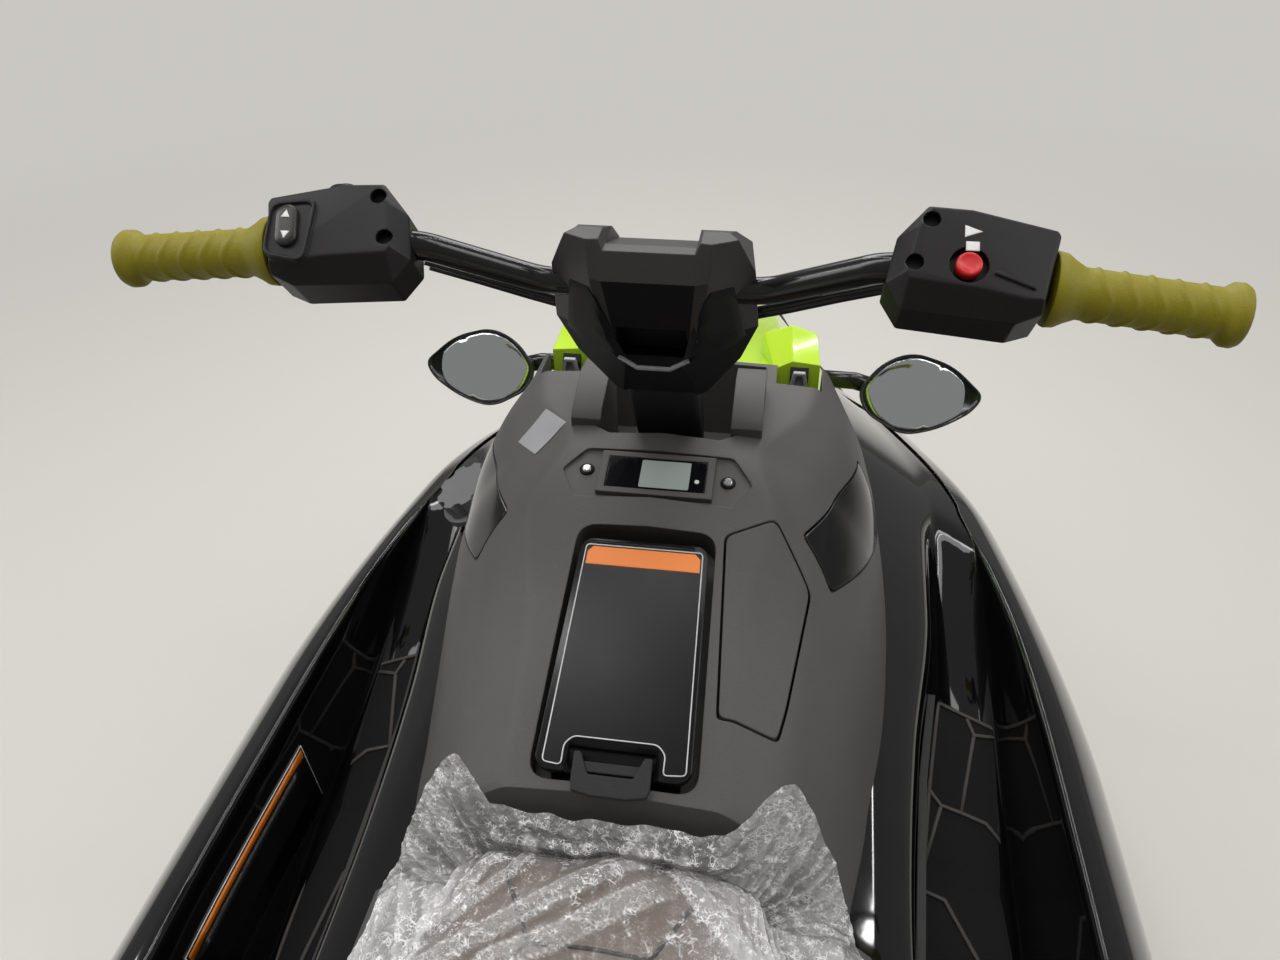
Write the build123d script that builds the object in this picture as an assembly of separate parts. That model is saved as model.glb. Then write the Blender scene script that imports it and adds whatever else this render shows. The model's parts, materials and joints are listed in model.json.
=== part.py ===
from build123d import *
import os
from math import atan2, cos, hypot, radians, sin

os.makedirs("parts", exist_ok=True)

# Driving dimensions, in millimetres
# X points to starboard, Y to the bow, Z up; the origin is amidships on the waterline

STERN_Y = -1500.0
BOW_Y = 1558.0
DRAFT = 210.0
HALF_BEAM = 553.0
CLEAR = 0.3

BUMPER_PROUD = 12.0
BUMPER_HEIGHT = 44.0

PLATFORM_Z = 195.0
PLATFORM_FRONT_Y = -1140.0
PLATFORM_HALF = 470.0
MAT_THICK = 7.0
PANEL_THICK = 9.0

SEAT_FRONT_Y = -4.0
SEAT_REAR_Y = -1110.0
SEAT_SPLIT_Y = -590.0
SEAT_GAP = 6.0

COWL_FRONT_Y = 500.0
COWL_REAR_Y = 4.0
COWL_FOOT_Z = 395.0
SKIN = 6.0

LID_FRONT = (209.0, 727.0)
LID_REAR = (14.0, 655.0)
LID_HALF_FRONT = 57.0
LID_HALF_REAR = 63.0
LID_THICK = 8.0
LID_GAP = 5.5
LID_FRONT_GAP = 15.0
GLOVE_FLOOR_Z = 520.0
GLOVE_HALF = 50.0
BIN_WALL = 3.0

DISPLAY_Y = 282.0
DISPLAY_Z = 743.0
DISPLAY_TILT = 12.0
DISPLAY_SIZE = (108.0, 50.0)
DISPLAY_POCKET = [(-74, -29), (74, -29), (90, -2), (70, 29), (-70, 29), (-90, 2)]
DISPLAY_BASE = 12.0
DISPLAY_BEZEL = 6.0

HOOD_WALL = 6.0
HOOD_SEAM = 6.0
HOOD_HINGE_Y = 1336.0
HOOD_HINGE_Z = 310.0
HINGE_PIN_R = 5.0
PIN_PLAY = 0.08
BOW_BIN_HALF = 92.0
BOW_BIN_REAR_Y = 660.0
BOW_BIN_FRONT_Y = 1010.0
BOW_BIN_FLOOR_Z = 262.0

COLUMN_Y = 400.0
COLUMN_Z = 730.0
COLUMN_TILT = 30.0
COLUMN_R = 20.0
TROUGH_HALF = 92.0
TROUGH_REAR_Y = 334.0
TROUGH_FLOOR_Z = 650.0
TROUGH_WALL = 8.0
BAR_R = 11.0
GRIP_R = 18.0
GRIP_LENGTH = 131.0
BAR_SIDE = (92.0, 280.0, 943.0)
BAR_ELBOW = (177.0, 236.0, 991.0)
BAR_END = (416.0, 226.0, 971.0)
GRIP_INNER = 290.0

DUCT_HALF = 78.0
IMPELLER_R = 71.0
IMPELLER_GAP = 5.0
PUMP_WALL = 7.0
SHAFT_R = 12.0
SHAFT_Z = -75.0
SHAFT_FRONT_Y = -700.0
PUMP_FRONT_Y = -1082.0
PUMP_REAR_Y = -1300.0
NOZZLE_PIVOT_Y = -1368.0
NOZZLE_BORE_R = 42.0
NOZZLE_WALL = 6.0
NOZZLE_TAIL = 96.0
BUCKET_R = 148.0
BUCKET_WALL = 7.0
BUCKET_HALF = 98.0
RECESS_HALF = 150.0
RECESS_TOP_Z = 98.0
RECESS_FRONT_Y = -1080.0

EYE_BORE_R = 12.0
EYE_THICK = 10.0
EYE_WALL = 11.0

# Sections of the hull and deck, from stern to bow
# Columns: y, keel z, chine x, chine z, rail x, rail z, crown x, crown z, inner top x, inner top z
STATIONS = [
    (STERN_Y, -188, 380, -66, 482, 108, 425, 208, 236, 214),
    (-1000, -205, 415, -60, 538, 110, 470, 318, 236, 345),
    (-300, -DRAFT, 425, -52, HALF_BEAM, 114, 487, 360, 236, 452),
    (300, -208, 405, -35, 538, 126, 468, 372, 236, 470),
    (700, -190, 345, 20, 464, 170, 402, 384, 205, 488),
    (1150, -62, 205, 118, 268, 222, 204, 298, 126, 362),
    (BOW_Y, 150, 42, 214, 64, 260, 46, 290, 20, 300),
]

# Sections of each footwell, from stern to bow
# Columns: y, inner floor x, outer floor x, floor z, inner top x, outer top x
WELL_STATIONS = [
    (PLATFORM_FRONT_Y - 20, 262, 425, PLATFORM_Z, 238, 448),
    (-900, 270, 435, 134, 248, 455),
    (0, 280, 440, 130, 256, 458),
    (230, 305, 432, 188, 268, 456),
    (450, 338, 420, 262, 292, 440),
    (700, 334, 378, 452, 300, 398),
]
WELL_TOP_Z = 640.0

# Sections of the grey cowl, from the seat to the bars
# Columns: y, centre z, edge x, edge z, shoulder x, shoulder z, side x, side z, skirt x, skirt z, foot x
COWL_STATIONS = [
    (COWL_REAR_Y, 646, 86, 639, 130, 606, 162, 540, 205, 450, 232),
    (130, 699, 91, 692, 145, 650, 190, 560, 228, 450, 246),
    (248, 743, 113, 733, 150, 702, 203, 630, 237, 492, 256),
    (317, 756, 90, 751, 154, 722, 210, 646, 242, 500, 260),
    (395, 763, 136, 750, 176, 724, 214, 652, 246, 502, 262),
    (COWL_FRONT_Y, 744, 156, 739, 175, 702, 206, 640, 238, 520, 262),
]

# Sections of the hood, from the bars to the bow
# Columns: y, centre z, ridge x, ridge z, side x, side z, rim x, rim z
HOOD_STATIONS = [
    (COWL_FRONT_Y + HOOD_SEAM, 736, 112, 730, 168, 694, 212, 482),
    (700, 684, 102, 674, 154, 628, 196, 484),
    (950, 588, 82, 578, 128, 518, 158, 438),
    (1180, 476, 62, 465, 90, 416, 110, 344),
    (1312, 400, 46, 389, 66, 352, 78, 287),
]

# Sections of the seat, from front to rear
# Columns: y, base half width, cushion half width, cushion edge z, cushion crown z
SEAT_FRONT_STATIONS = [
    (SEAT_FRONT_Y, 184, 122, 562, 594),
    (-150, 198, 158, 556, 588),
    (SEAT_SPLIT_Y + 70, 206, 168, 556, 592),
    (SEAT_SPLIT_Y, 206, 164, 590, 622),
]
SEAT_REAR_STATIONS = [
    (SEAT_SPLIT_Y - SEAT_GAP, 206, 164, 592, 624),
    (-820, 204, 162, 604, 634),
    (SEAT_REAR_Y, 196, 150, 596, 622),
]
SEAT_BASE_Z = 505.0
PEDESTAL_HALF = 233.0
PEDESTAL_TOP_Z = 452.0
PEDESTAL_CORNER = (150.0, 70.0)

# Outlines of the footwell mats and the rear mat
MAT_OUTLINE = [
    (286, -1080), (436, -1080), (440, 0), (431, 160), (420, 419),
    (349, 454), (333, 337), (320, 229), (292, 60),
]
REAR_MAT_OUTLINE = [(-400, -1170), (400, -1170), (400, -1440), (330, -1485), (-330, -1485), (-400, -1440)]

# Outlines of the side panels in (y, z), and of the access panel in (x, y)
KNEE_PANEL = [
    (-1000, 300), (-1000, 225), (120, 205), (235, 240), (365, 345), (360, 388), (40, 420), (-600, 410),
]
SMOKED_PANEL = [(268, 720), (405, 690), (385, 600), (225, 665)]
ACCESS_PANEL = [(70, 224), (113, 248), (149, 208), (134, 104), (128, 76), (78, 70)]

# Outline of the switch housings, seen from the rider
# Columns: across, up
HOUSING_OUTLINE = [
    (-59, -14), (-52, 21), (-32, 42), (-2, 40), (56, 26), (58, 22), (47, -35), (30, -41), (-47, -34),
]
HOUSING_DEPTH = 54.0
HOUSING_BEVEL = 8.0
HOUSING_FRONT_SCALE = 0.9
HOUSING_BACK_SCALE = 0.85
HOUSING_X = 234.0
HOUSING_SCREWS = [(-30, 28), (-40, -6)]
SCREW_HOLE_R = 5.0
SCREW_HOLE_DEPTH = 6.0

# Sections of the pad on the bars, from its top down
# Columns: z, middle half width, middle y, ridge x, ridge y, side x, side y, front half width, front y
PAD_STATIONS = [
    (1002, 36, 288, 48, 278, 70, 286, 60, 306),
    (962, 37, 246, 47, 250, 82, 274, 76, 330),
    (905, 31, 262, 38, 258, 86, 292, 80, 344),
    (866, 22, 286, 26, 280, 72, 304, 66, 348),
    (818, 30, 316, 34, 314, 42, 320, 40, 340),
]
PAD_NOTCH = [(-36, 984), (36, 984), (48, 1010), (-48, 1010)]
PAD_RECESS = [(-29, 915), (29, 915), (31, 878), (-31, 878)]
PAD_RECESS_Y = 294.0

# Cheeks beside the neck, as an outline in (y, z)
CHEEK = [(345, 640), (345, 761), (352, 768), (402, 782), (432, 776), (432, 640)]
CHEEK_INNER = 64.0

# Channels in the front of the cowl where the hood's latches stand
CHANNEL_X = (104.0, 152.0)
CHANNEL_REAR_Y = 452.0
CHANNEL_FLOOR_Z = 682.0

# Raised rear corners of the hood
# Columns: y, inner x, inner z, peak x, peak z, outer x, outer z
EAR_STATIONS = [
    (COWL_FRONT_Y + HOOD_SEAM, 100, 732, 120, 743, 150, 740),
    (556, 86, 748, 117, 760, 145, 751),
    (690, 92, 678, 114, 682, 134, 672),
]
EAR_FOOT_Z = 660.0


def polygon_face(points):
    return Face(Wire.make_polygon([Vector(*p) for p in points], close=True))


def both_sides(half):
    """Closes a half outline, listed from the centre plane outward, with its mirror image."""
    other = [(-x, y, z) for x, y, z in reversed(half) if x > 0]
    return half + other


def side_prism(points, x_low, x_high):
    """Extrudes a (y, z) outline along X."""
    face = polygon_face([(x_low, y, z) for y, z in points])
    return extrude(face, amount=x_high - x_low, dir=(1, 0, 0))


def flat_prism(points, z_low, z_high):
    """Extrudes an (x, y) outline along Z."""
    face = polygon_face([(x, y, z_low) for x, y in points])
    return extrude(face, amount=z_high - z_low, dir=(0, 0, 1))


def front_prism(points, y_low, y_high):
    """Extrudes an (x, z) outline along Y."""
    face = polygon_face([(x, y_low, z) for x, z in points])
    return extrude(face, amount=y_high - y_low, dir=(0, 1, 0))


def block(low, high):
    size = [b - a for a, b in zip(low, high)]
    middle = [(a + b) / 2 for a, b in zip(low, high)]
    return Pos(*middle) * Box(*size)


def rod(start, end, radius):
    """A round bar between two points."""
    a, b = Vector(*start), Vector(*end)
    return extrude(Plane(origin=a, z_dir=b - a) * Circle(radius), amount=(b - a).length)


def cross_rod(y, z, radius, x_low, x_high):
    """A round bar along X."""
    return rod((x_low, y, z), (x_high, y, z), radius)


def swept_rod(points, bend, radius):
    """A round bar along straight runs joined by tangent arcs."""
    path = FilletPolyline(*[Vector(*p) for p in points], radius=bend)
    return sweep(Plane(origin=path @ 0, z_dir=path % 0) * Circle(radius), path=path)


def mirrored(shape):
    return mirror(shape, about=Plane.YZ)


def pair(shape):
    """The same piece on both sides, as solids that don't touch."""
    return Compound([*shape.solids(), *mirrored(shape).solids()])


def biggest(shape):
    """The largest solid of a cut that leaves scraps."""
    return max(shape.solids(), key=lambda solid: solid.volume)


def export(name, shape):
    solids = shape.solids()
    export_step(solids[0] if len(solids) == 1 else Compound(solids), f"parts/{name}.step")


def body_section(y, keel, chine_x, chine_z, rail_x, rail_z, crown_x, crown_z, top_x, top_z):
    """One closed outline across the boat: keel, chines, rails, rounded gunwales and deck."""
    bulge_x = (rail_x + crown_x) / 2 + 0.4 * (rail_x - crown_x)
    bulge_z = (rail_z + crown_z) / 2 + 0.1 * (crown_z - rail_z)
    knee_x = crown_x - 0.3 * (crown_x - top_x)
    knee_z = crown_z + 0.22 * (top_z - crown_z)
    lower = [(0, keel), (chine_x * 0.93, chine_z - 6), (chine_x, chine_z + 8), (rail_x, rail_z)]
    upper = [(crown_x, crown_z), (knee_x, knee_z), (top_x, top_z)]
    edges = []
    for side in (1, -1):
        bottom = [(side * x, y, z) for x, z in lower]
        deck = [(side * x, y, z) for x, z in upper]
        edges += [Edge.make_line(a, b) for a, b in zip(bottom, bottom[1:])]
        edges.append(Edge.make_three_point_arc(bottom[-1], (side * bulge_x, y, bulge_z), deck[0]))
        edges += [Edge.make_line(a, b) for a, b in zip(deck, deck[1:])]
    edges.append(Edge.make_line((top_x, y, top_z), (-top_x, y, top_z)))
    return Face(Wire(edges))


def body_blank():
    """Hull and deck in one solid, before they part at the rail."""
    return loft([body_section(*row) for row in STATIONS])


BODY = body_blank()


def below_rail():
    """Everything under the line where hull and deck meet."""
    line = [(row[0], row[5]) for row in STATIONS]
    start, end = line[0], line[-1]
    corners = [(end[0] + 90, end[1]), (end[0] + 90, -400), (start[0] - 90, -400), (start[0] - 90, start[1])]
    return side_prism(line + corners, -700, 700)


def well_cutter():
    """The starboard footwell as a solid, reaching above the deck."""
    faces = []
    for y, foot_in, foot_out, floor, top_in, top_out in WELL_STATIONS:
        corners = [(foot_in, floor), (foot_out, floor), (top_out, WELL_TOP_Z), (top_in, WELL_TOP_Z)]
        faces.append(polygon_face([(x, y, z) for x, z in corners]))
    return loft(faces, ruled=True)


def jet_recess():
    """The open space under the stern for the pump, its nozzle and its bucket."""
    low = (-RECESS_HALF, STERN_Y - 60, -DRAFT - 60)
    high = (RECESS_HALF, RECESS_FRONT_Y, RECESS_TOP_Z)
    return block(low, high)


PUMP_BORE_R = IMPELLER_R + IMPELLER_GAP
PUMP_OUTER_R = PUMP_BORE_R + PUMP_WALL
DUCT_FRONT_Y = -560.0
DUCT_BACK_Y = -960.0


def intake_duct():
    """The water way from the slot in the bottom up to the pump's mouth."""
    outline = [
        (DUCT_FRONT_Y, -DRAFT - 60),
        (DUCT_FRONT_Y, -160),
        (DUCT_FRONT_Y - 60, -130),
        (-840, SHAFT_Z + 30),
        (-980, SHAFT_Z + PUMP_BORE_R),
        (RECESS_FRONT_Y - 1, SHAFT_Z + PUMP_BORE_R),
        (RECESS_FRONT_Y - 1, SHAFT_Z - PUMP_BORE_R),
        (DUCT_BACK_Y, -DRAFT - 4),
        (DUCT_BACK_Y, -DRAFT - 60),
    ]
    return side_prism(outline, -DUCT_HALF, DUCT_HALF)


def hood_rebate():
    """The step in the deck that the hood's rim drops into."""
    faces = []
    for y, mid_z, ridge_x, ridge_z, side_x, side_z, rim_x, rim_z in HOOD_STATIONS:
        station_y = y
        if y == HOOD_STATIONS[0][0]:
            station_y = COWL_FRONT_Y + CLEAR
        if y == HOOD_STATIONS[-1][0]:
            station_y = y + HOOD_SEAM
        half = [(0, station_y, rim_z - 5), (rim_x + 5, station_y, rim_z - 5), (rim_x + 5, station_y, 900)]
        faces.append(polygon_face(both_sides(half)))
    return loft(faces)


def bow_bin_space(grow):
    low = (-BOW_BIN_HALF - grow, BOW_BIN_REAR_Y - grow, BOW_BIN_FLOOR_Z - grow)
    high = (BOW_BIN_HALF + grow, BOW_BIN_FRONT_Y + grow, 900)
    return block(low, high)


def side_zone():
    """Everything outboard of the starboard footwell's inner foot, from stern to bow."""
    line = [(row[1], row[0]) for row in WELL_STATIONS]
    start, end = line[0], line[-1]
    corners = [(end[0], BOW_Y), (700, BOW_Y), (700, STERN_Y - 60), (start[0], STERN_Y - 60)]
    return flat_prism(line + corners, 0, 900)


def platform_space():
    return block((-PLATFORM_HALF, STERN_Y - 80, PLATFORM_Z), (PLATFORM_HALF, PLATFORM_FRONT_Y, 900))


def make_hull():
    hull = (BODY & below_rail()) - jet_recess() - intake_duct()
    return hull - rod((0, -1000, SHAFT_Z), (0, SHAFT_FRONT_Y + 10, SHAFT_Z), SHAFT_R + 1)


def make_gunwales():
    """The outer half of the deck on each side: the footwell's floor and its outer wall."""
    side = (BODY - below_rail()) & side_zone()
    side = side - well_cutter() - platform_space()
    return pair(side)


def make_deck():
    """The middle of the deck: the platform, the ridge under the seat and the bow."""
    well = well_cutter()
    zone = side_zone()
    deck = BODY - below_rail() - zone - mirrored(zone)
    deck = deck - well - mirrored(well) - platform_space()
    return deck - bow_bin_space(BIN_WALL + CLEAR) - hood_rebate()


def bumper_slab(proud, height, nose):
    faces = []
    for y, keel, chine_x, chine_z, rail_x, rail_z, *rest in STATIONS:
        station_y = y + nose if y == BOW_Y else y
        wide, low, high = rail_x + proud, rail_z - height / 2, rail_z + height / 2
        half = [(0, low), (wide - 8, low), (wide, low + 9), (wide, high - 9), (wide - 8, high), (0, high)]
        points = half + [(-x, z) for x, z in reversed(half) if x > 0]
        faces.append(polygon_face([(x, station_y, z) for x, z in points]))
    return loft(faces)


def make_bumper():
    return bumper_slab(BUMPER_PROUD, BUMPER_HEIGHT, BUMPER_PROUD) - BODY


def make_bow_bin():
    shell = bow_bin_space(BIN_WALL) - bow_bin_space(0)
    return shell - hood_rebate()


def make_mats():
    well = well_cutter()
    outline = flat_prism(MAT_OUTLINE, 60, WELL_TOP_Z - 5)
    layer = Pos(0, 0, CLEAR) * well - Pos(0, 0, MAT_THICK) * well
    return pair(outline & layer)


def make_rear_mat():
    return flat_prism(REAR_MAT_OUTLINE, PLATFORM_Z, PLATFORM_Z + MAT_THICK)


def make_knee_panels():
    """The grey side panels that stand on the footwells' inner walls."""
    well = well_cutter()
    layer = Pos(CLEAR, 0, 0) * well - Pos(PANEL_THICK, 0, 0) * well
    return pair(side_prism(KNEE_PANEL, 200, 330) & layer)


SPONSON = [(-1430, -48), (-1420, -98), (-880, -92), (-800, -40)]
SPONSON_X = (380.0, 470.0)


def make_sponsons():
    return pair(side_prism(SPONSON, *SPONSON_X) - BODY)


def eye_plate(origin, facing, reach):
    """A plate with a round eye, standing out of the surface along Y from the origin."""
    x, y, z = origin
    outer = EYE_BORE_R + EYE_WALL
    centre_y = y + facing * reach
    plate = rod((x - EYE_THICK / 2, centre_y, z), (x + EYE_THICK / 2, centre_y, z), outer)
    plate += block(
        (x - EYE_THICK / 2, min(y, centre_y), z - outer), (x + EYE_THICK / 2, max(y, centre_y), z + outer)
    )
    foot = block((x - 22, min(y, y + facing * 5), z - 30), (x + 22, max(y, y + facing * 5), z + 30))
    bore = rod((x - EYE_THICK, centre_y, z), (x + EYE_THICK, centre_y, z), EYE_BORE_R)
    return plate + foot - bore


STERN_EYE = (300.0, STERN_Y, 60.0)
BOW_EYE = (0.0, 1522.0, 90.0)
EYE_REACH = 24.0
TOW_EYE_Z = PLATFORM_Z - 42.0


def make_stern_eyes():
    return pair(eye_plate(STERN_EYE, -1, EYE_REACH))


def make_tow_eye():
    return eye_plate((0.0, STERN_Y, TOW_EYE_Z), -1, EYE_REACH)


def make_bow_eye():
    """A plate on the stem with an athwartships eye for the trailer's winch hook."""
    x, y, z = BOW_EYE
    outer = EYE_BORE_R + EYE_WALL
    centre = (y, z)
    plate = cross_rod(*centre, outer, -EYE_THICK / 2, EYE_THICK / 2)
    tongue = [(y - 50, z - 14), (y, z - outer), (y + outer, z), (y + outer, z + 70), (y - 50, z + 70)]
    plate += side_prism(tongue, -EYE_THICK / 2, EYE_THICK / 2)
    plate = biggest(plate - BODY)
    return plate - cross_rod(*centre, EYE_BORE_R, -EYE_THICK, EYE_THICK)


FUEL_CAP_AT = (-296.0, 560.0, 466.0)
FUEL_CAP_R = 40.0


def fuel_cap_plane():
    return Plane(origin=FUEL_CAP_AT, x_dir=(1, 0, 0.3), z_dir=(-0.42, -0.15, 0.9))


def make_fuel_cap():
    frame = fuel_cap_plane()
    base = biggest(extrude(frame * Circle(FUEL_CAP_R + 6), amount=-60) - BODY)
    cap = extrude(frame * Circle(FUEL_CAP_R), amount=24)
    for index in range(8):
        turn = radians(45 * index)
        notch = Pos((FUEL_CAP_R + 3) * cos(turn), (FUEL_CAP_R + 3) * sin(turn), 14) * Cylinder(9, 30)
        cap -= frame * notch
    return base + cap


def cowl_blank():
    """The cowl's outer form, smooth along the boat with a crease at each edge."""
    faces = []
    for row in COWL_STATIONS:
        y, mid_z, edge_x, edge_z, shoulder_x, shoulder_z, side_x, side_z, skirt_x, skirt_z, foot_x = row
        half = [
            (0, y, mid_z),
            (edge_x, y, edge_z),
            (shoulder_x, y, shoulder_z),
            (side_x, y, side_z),
            (skirt_x, y, skirt_z),
            (foot_x, y, COWL_FOOT_Z),
        ]
        faces.append(polygon_face(both_sides(half)))
    return loft(faces)


COWL = cowl_blank()


def cowl_layer(start, end):
    """The part of the starboard half of the cowl between two depths under its skin."""
    half = COWL & block((1, -100, 0), (400, 700, 900))
    outer = Pos(-start * 0.7, 0, -start * 0.7) * half if start else half
    inner = Pos(-end * 0.7, 0, -end * 0.7) * half
    return outer - inner


def lid_plane(drop=0.0):
    """Plane with local X to starboard and local Y up the slope of the glovebox lid."""
    slope = atan2(LID_FRONT[1] - LID_REAR[1], LID_FRONT[0] - LID_REAR[0])
    normal = Vector(0, -sin(slope), cos(slope))
    origin = Vector(0, LID_REAR[0], LID_REAR[1]) - normal * drop
    return Plane(origin=origin, x_dir=(1, 0, 0), z_dir=normal)


LID_HINGE = (LID_FRONT[0] - 1.5, LID_FRONT[1] - 5.0)
LID_BARREL_R = 4.8
LID_PIN_R = 2.6
LID_LENGTH = hypot(LID_FRONT[0] - LID_REAR[0], LID_FRONT[1] - LID_REAR[1])


def lid_outline(grow, front_grow):
    points = [
        (-LID_HALF_REAR - grow, -grow),
        (LID_HALF_REAR + grow, -grow),
        (LID_HALF_FRONT + grow, LID_LENGTH + front_grow),
        (-LID_HALF_FRONT - grow, LID_LENGTH + front_grow),
    ]
    outline = make_face(Polyline(*points, close=True))
    return fillet(outline.vertices(), radius=12 + grow)


def glove_space(grow):
    """The pocket under the glovebox lid."""
    low = (-GLOVE_HALF - grow, LID_REAR[0] + 16 - grow, GLOVE_FLOOR_Z - grow)
    high = (GLOVE_HALF + grow, LID_FRONT[0] - 22 + grow, 760)
    return block(low, high)


def display_plane(lift=0.0):
    normal = Vector(0, -sin(radians(DISPLAY_TILT)), cos(radians(DISPLAY_TILT)))
    origin = Vector(0, DISPLAY_Y, DISPLAY_Z) + normal * lift
    return Plane(origin=origin, x_dir=(1, 0, 0), z_dir=normal)


def column_plane(along=0.0):
    """Plane square to the steering axis, at a distance along it from the pivot."""
    tilt = radians(COLUMN_TILT)
    normal = Vector(0, -sin(tilt), cos(tilt))
    return Plane(origin=Vector(0, COLUMN_Y, COLUMN_Z) + normal * along, x_dir=(1, 0, 0), z_dir=normal)


def trough_space():
    points = [
        (-TROUGH_HALF, COWL_FRONT_Y - TROUGH_WALL),
        (TROUGH_HALF, COWL_FRONT_Y - TROUGH_WALL),
        (TROUGH_HALF, TROUGH_REAR_Y + 26),
        (TROUGH_HALF - 38, TROUGH_REAR_Y),
        (-TROUGH_HALF + 38, TROUGH_REAR_Y),
        (-TROUGH_HALF, TROUGH_REAR_Y + 26),
    ]
    return flat_prism(points, TROUGH_FLOOR_Z, 900)


def access_panel_blank(grow):
    face = polygon_face([(x, y, 500) for x, y in ACCESS_PANEL])
    if grow:
        face = offset(face, amount=grow)
    return extrude(face, amount=300, dir=(0, 0, 1))


def smoked_blank(grow):
    face = polygon_face([(118, y, z) for y, z in SMOKED_PANEL])
    if grow:
        face = offset(face, amount=grow)
    return extrude(face, amount=160, dir=(1, 0, 0))


def latch_channel():
    low = (CHANNEL_X[0], CHANNEL_REAR_Y, CHANNEL_FLOOR_Z)
    return block(low, (CHANNEL_X[1], COWL_FRONT_Y + 20, 900))


def make_cowl():
    cowl = COWL - extrude(lid_plane(LID_THICK + 5) * lid_outline(LID_GAP, LID_FRONT_GAP), amount=80)
    cowl += cross_rod(*LID_HINGE, LID_PIN_R, -LID_HALF_FRONT - LID_GAP - 2, LID_HALF_FRONT + LID_GAP + 2)
    cowl -= glove_space(BIN_WALL + CLEAR)
    cowl -= extrude(display_plane() * make_face(Polyline(*DISPLAY_POCKET, close=True)), amount=60)
    width, depth = DISPLAY_SIZE
    cowl -= extrude(display_plane() * Rectangle(width - 5, depth - 3), amount=-DISPLAY_BASE - 1)
    cowl -= trough_space()
    cheek = side_prism(CHEEK, CHEEK_INNER, TROUGH_HALF + 1)
    cowl += cheek
    cowl += mirrored(cheek)
    cowl -= latch_channel()
    cowl -= mirrored(latch_channel())
    cowl -= extrude(column_plane() * Circle(COLUMN_R + CLEAR), amount=-170)
    pocket = cowl_layer(0, SKIN + CLEAR)
    cowl -= access_panel_blank(1.5) & pocket
    smoked = smoked_blank(1.5) & pocket
    cowl -= smoked
    cowl -= mirrored(smoked)
    cowl -= BODY
    return biggest(cowl)


def make_access_panel():
    return access_panel_blank(0) & cowl_layer(0, SKIN)


def make_smoked_panels():
    return pair(smoked_blank(0) & cowl_layer(0, SKIN))


def make_glove_bin():
    shell = glove_space(BIN_WALL) - glove_space(0)
    return shell - extrude(lid_plane(LID_THICK + 5) * Rectangle(900, 1400), amount=500)


def make_glove_lid():
    lid = extrude(lid_plane() * lid_outline(0, 0), amount=-LID_THICK)
    lid -= extrude(lid_plane(-1) * Rectangle(LATCH_OPENING[0], 2 * LATCH_OPENING[1]), amount=-LID_THICK - 2)
    lid += cross_rod(*LID_HINGE, LID_BARREL_R, 12 - LID_HALF_FRONT, LID_HALF_FRONT - 12)
    return lid - cross_rod(*LID_HINGE, LID_PIN_R + PIN_PLAY, -LID_HALF_FRONT, LID_HALF_FRONT)


# The latch's finger plate with its two prongs, as a flat outline from the lid's rear edge
LATCH_PLATE = [
    (-36, 1), (-39, 6), (-39.5, 41), (-30, 41), (-25, 30), (25, 30), (30, 41), (39.5, 41), (39, 6), (36, 1),
]


LATCH_OPENING = (80.0, 43.0)
LATCH_RAISE = 7.0


def make_lid_latch():
    """The flush plate of the latch and the raised finger plate on it."""
    width, depth = LATCH_OPENING[0] - 2 * CLEAR, LATCH_OPENING[1] - 1
    plate = Pos(0, LATCH_OPENING[1] / 2, 0) * Rectangle(width, depth)
    latch = extrude(lid_plane() * plate, amount=-LID_THICK)
    return latch + extrude(lid_plane() * make_face(Polyline(*LATCH_PLATE, close=True)), amount=LATCH_RAISE)


def make_display():
    width, depth = DISPLAY_SIZE
    base = extrude(display_plane() * Rectangle(width - 6, depth - 4), amount=-DISPLAY_BASE)
    bezel = extrude(display_plane() * Rectangle(width, depth), amount=DISPLAY_BEZEL)
    window = extrude(display_plane(3) * Rectangle(width - 14, depth - 12), amount=9)
    return base + bezel - window


def make_display_glass():
    width, depth = DISPLAY_SIZE
    return extrude(display_plane(3) * Rectangle(width - 14.6, depth - 12.6), amount=2.5)


def seat_sections(stations, lower):
    faces = []
    for y, base_half, half, edge_z, crown_z in stations:
        if lower:
            outline = [
                (0, 200),
                (PEDESTAL_HALF, 200),
                (PEDESTAL_HALF, PEDESTAL_TOP_Z),
                (base_half, SEAT_BASE_Z),
                (0, SEAT_BASE_Z),
            ]
        else:
            outline = [
                (0, SEAT_BASE_Z + CLEAR),
                (half + 10, SEAT_BASE_Z + CLEAR),
                (half + 12, edge_z - 18),
                (half - 12, edge_z + 16),
                (0, crown_z),
            ]
        points = outline + [(-x, z) for x, z in reversed(outline) if x > 0]
        faces.append(polygon_face([(x, y, z) for x, z in points]))
    return faces


def make_seat_base():
    stations = [SEAT_FRONT_STATIONS[0], SEAT_FRONT_STATIONS[2], SEAT_REAR_STATIONS[2]]
    base = loft(seat_sections(stations, True), ruled=True) - BODY
    inner, length = PEDESTAL_CORNER
    outer, rear_y = PEDESTAL_HALF + 5, SEAT_REAR_Y - 5
    corner = flat_prism([(outer, rear_y), (outer, SEAT_REAR_Y + length), (inner, rear_y)], 100, 600)
    return biggest(base - corner - mirrored(corner))


def make_seat(stations):
    return loft(seat_sections(stations, False), ruled=True)


HANDLE_HALF = 140.0
HANDLE_Z = 470.0
HANDLE_REACH = 66.0
HANDLE_BEND = 34.0
HANDLE_R = 13.0


def make_grab_handle():
    x, z, back_y = HANDLE_HALF, HANDLE_Z, SEAT_REAR_Y - HANDLE_REACH
    path = [(-x, SEAT_REAR_Y, z), (-x, back_y, z), (x, back_y, z), (x, SEAT_REAR_Y, z)]
    return swept_rod(path, HANDLE_BEND, HANDLE_R)


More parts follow.
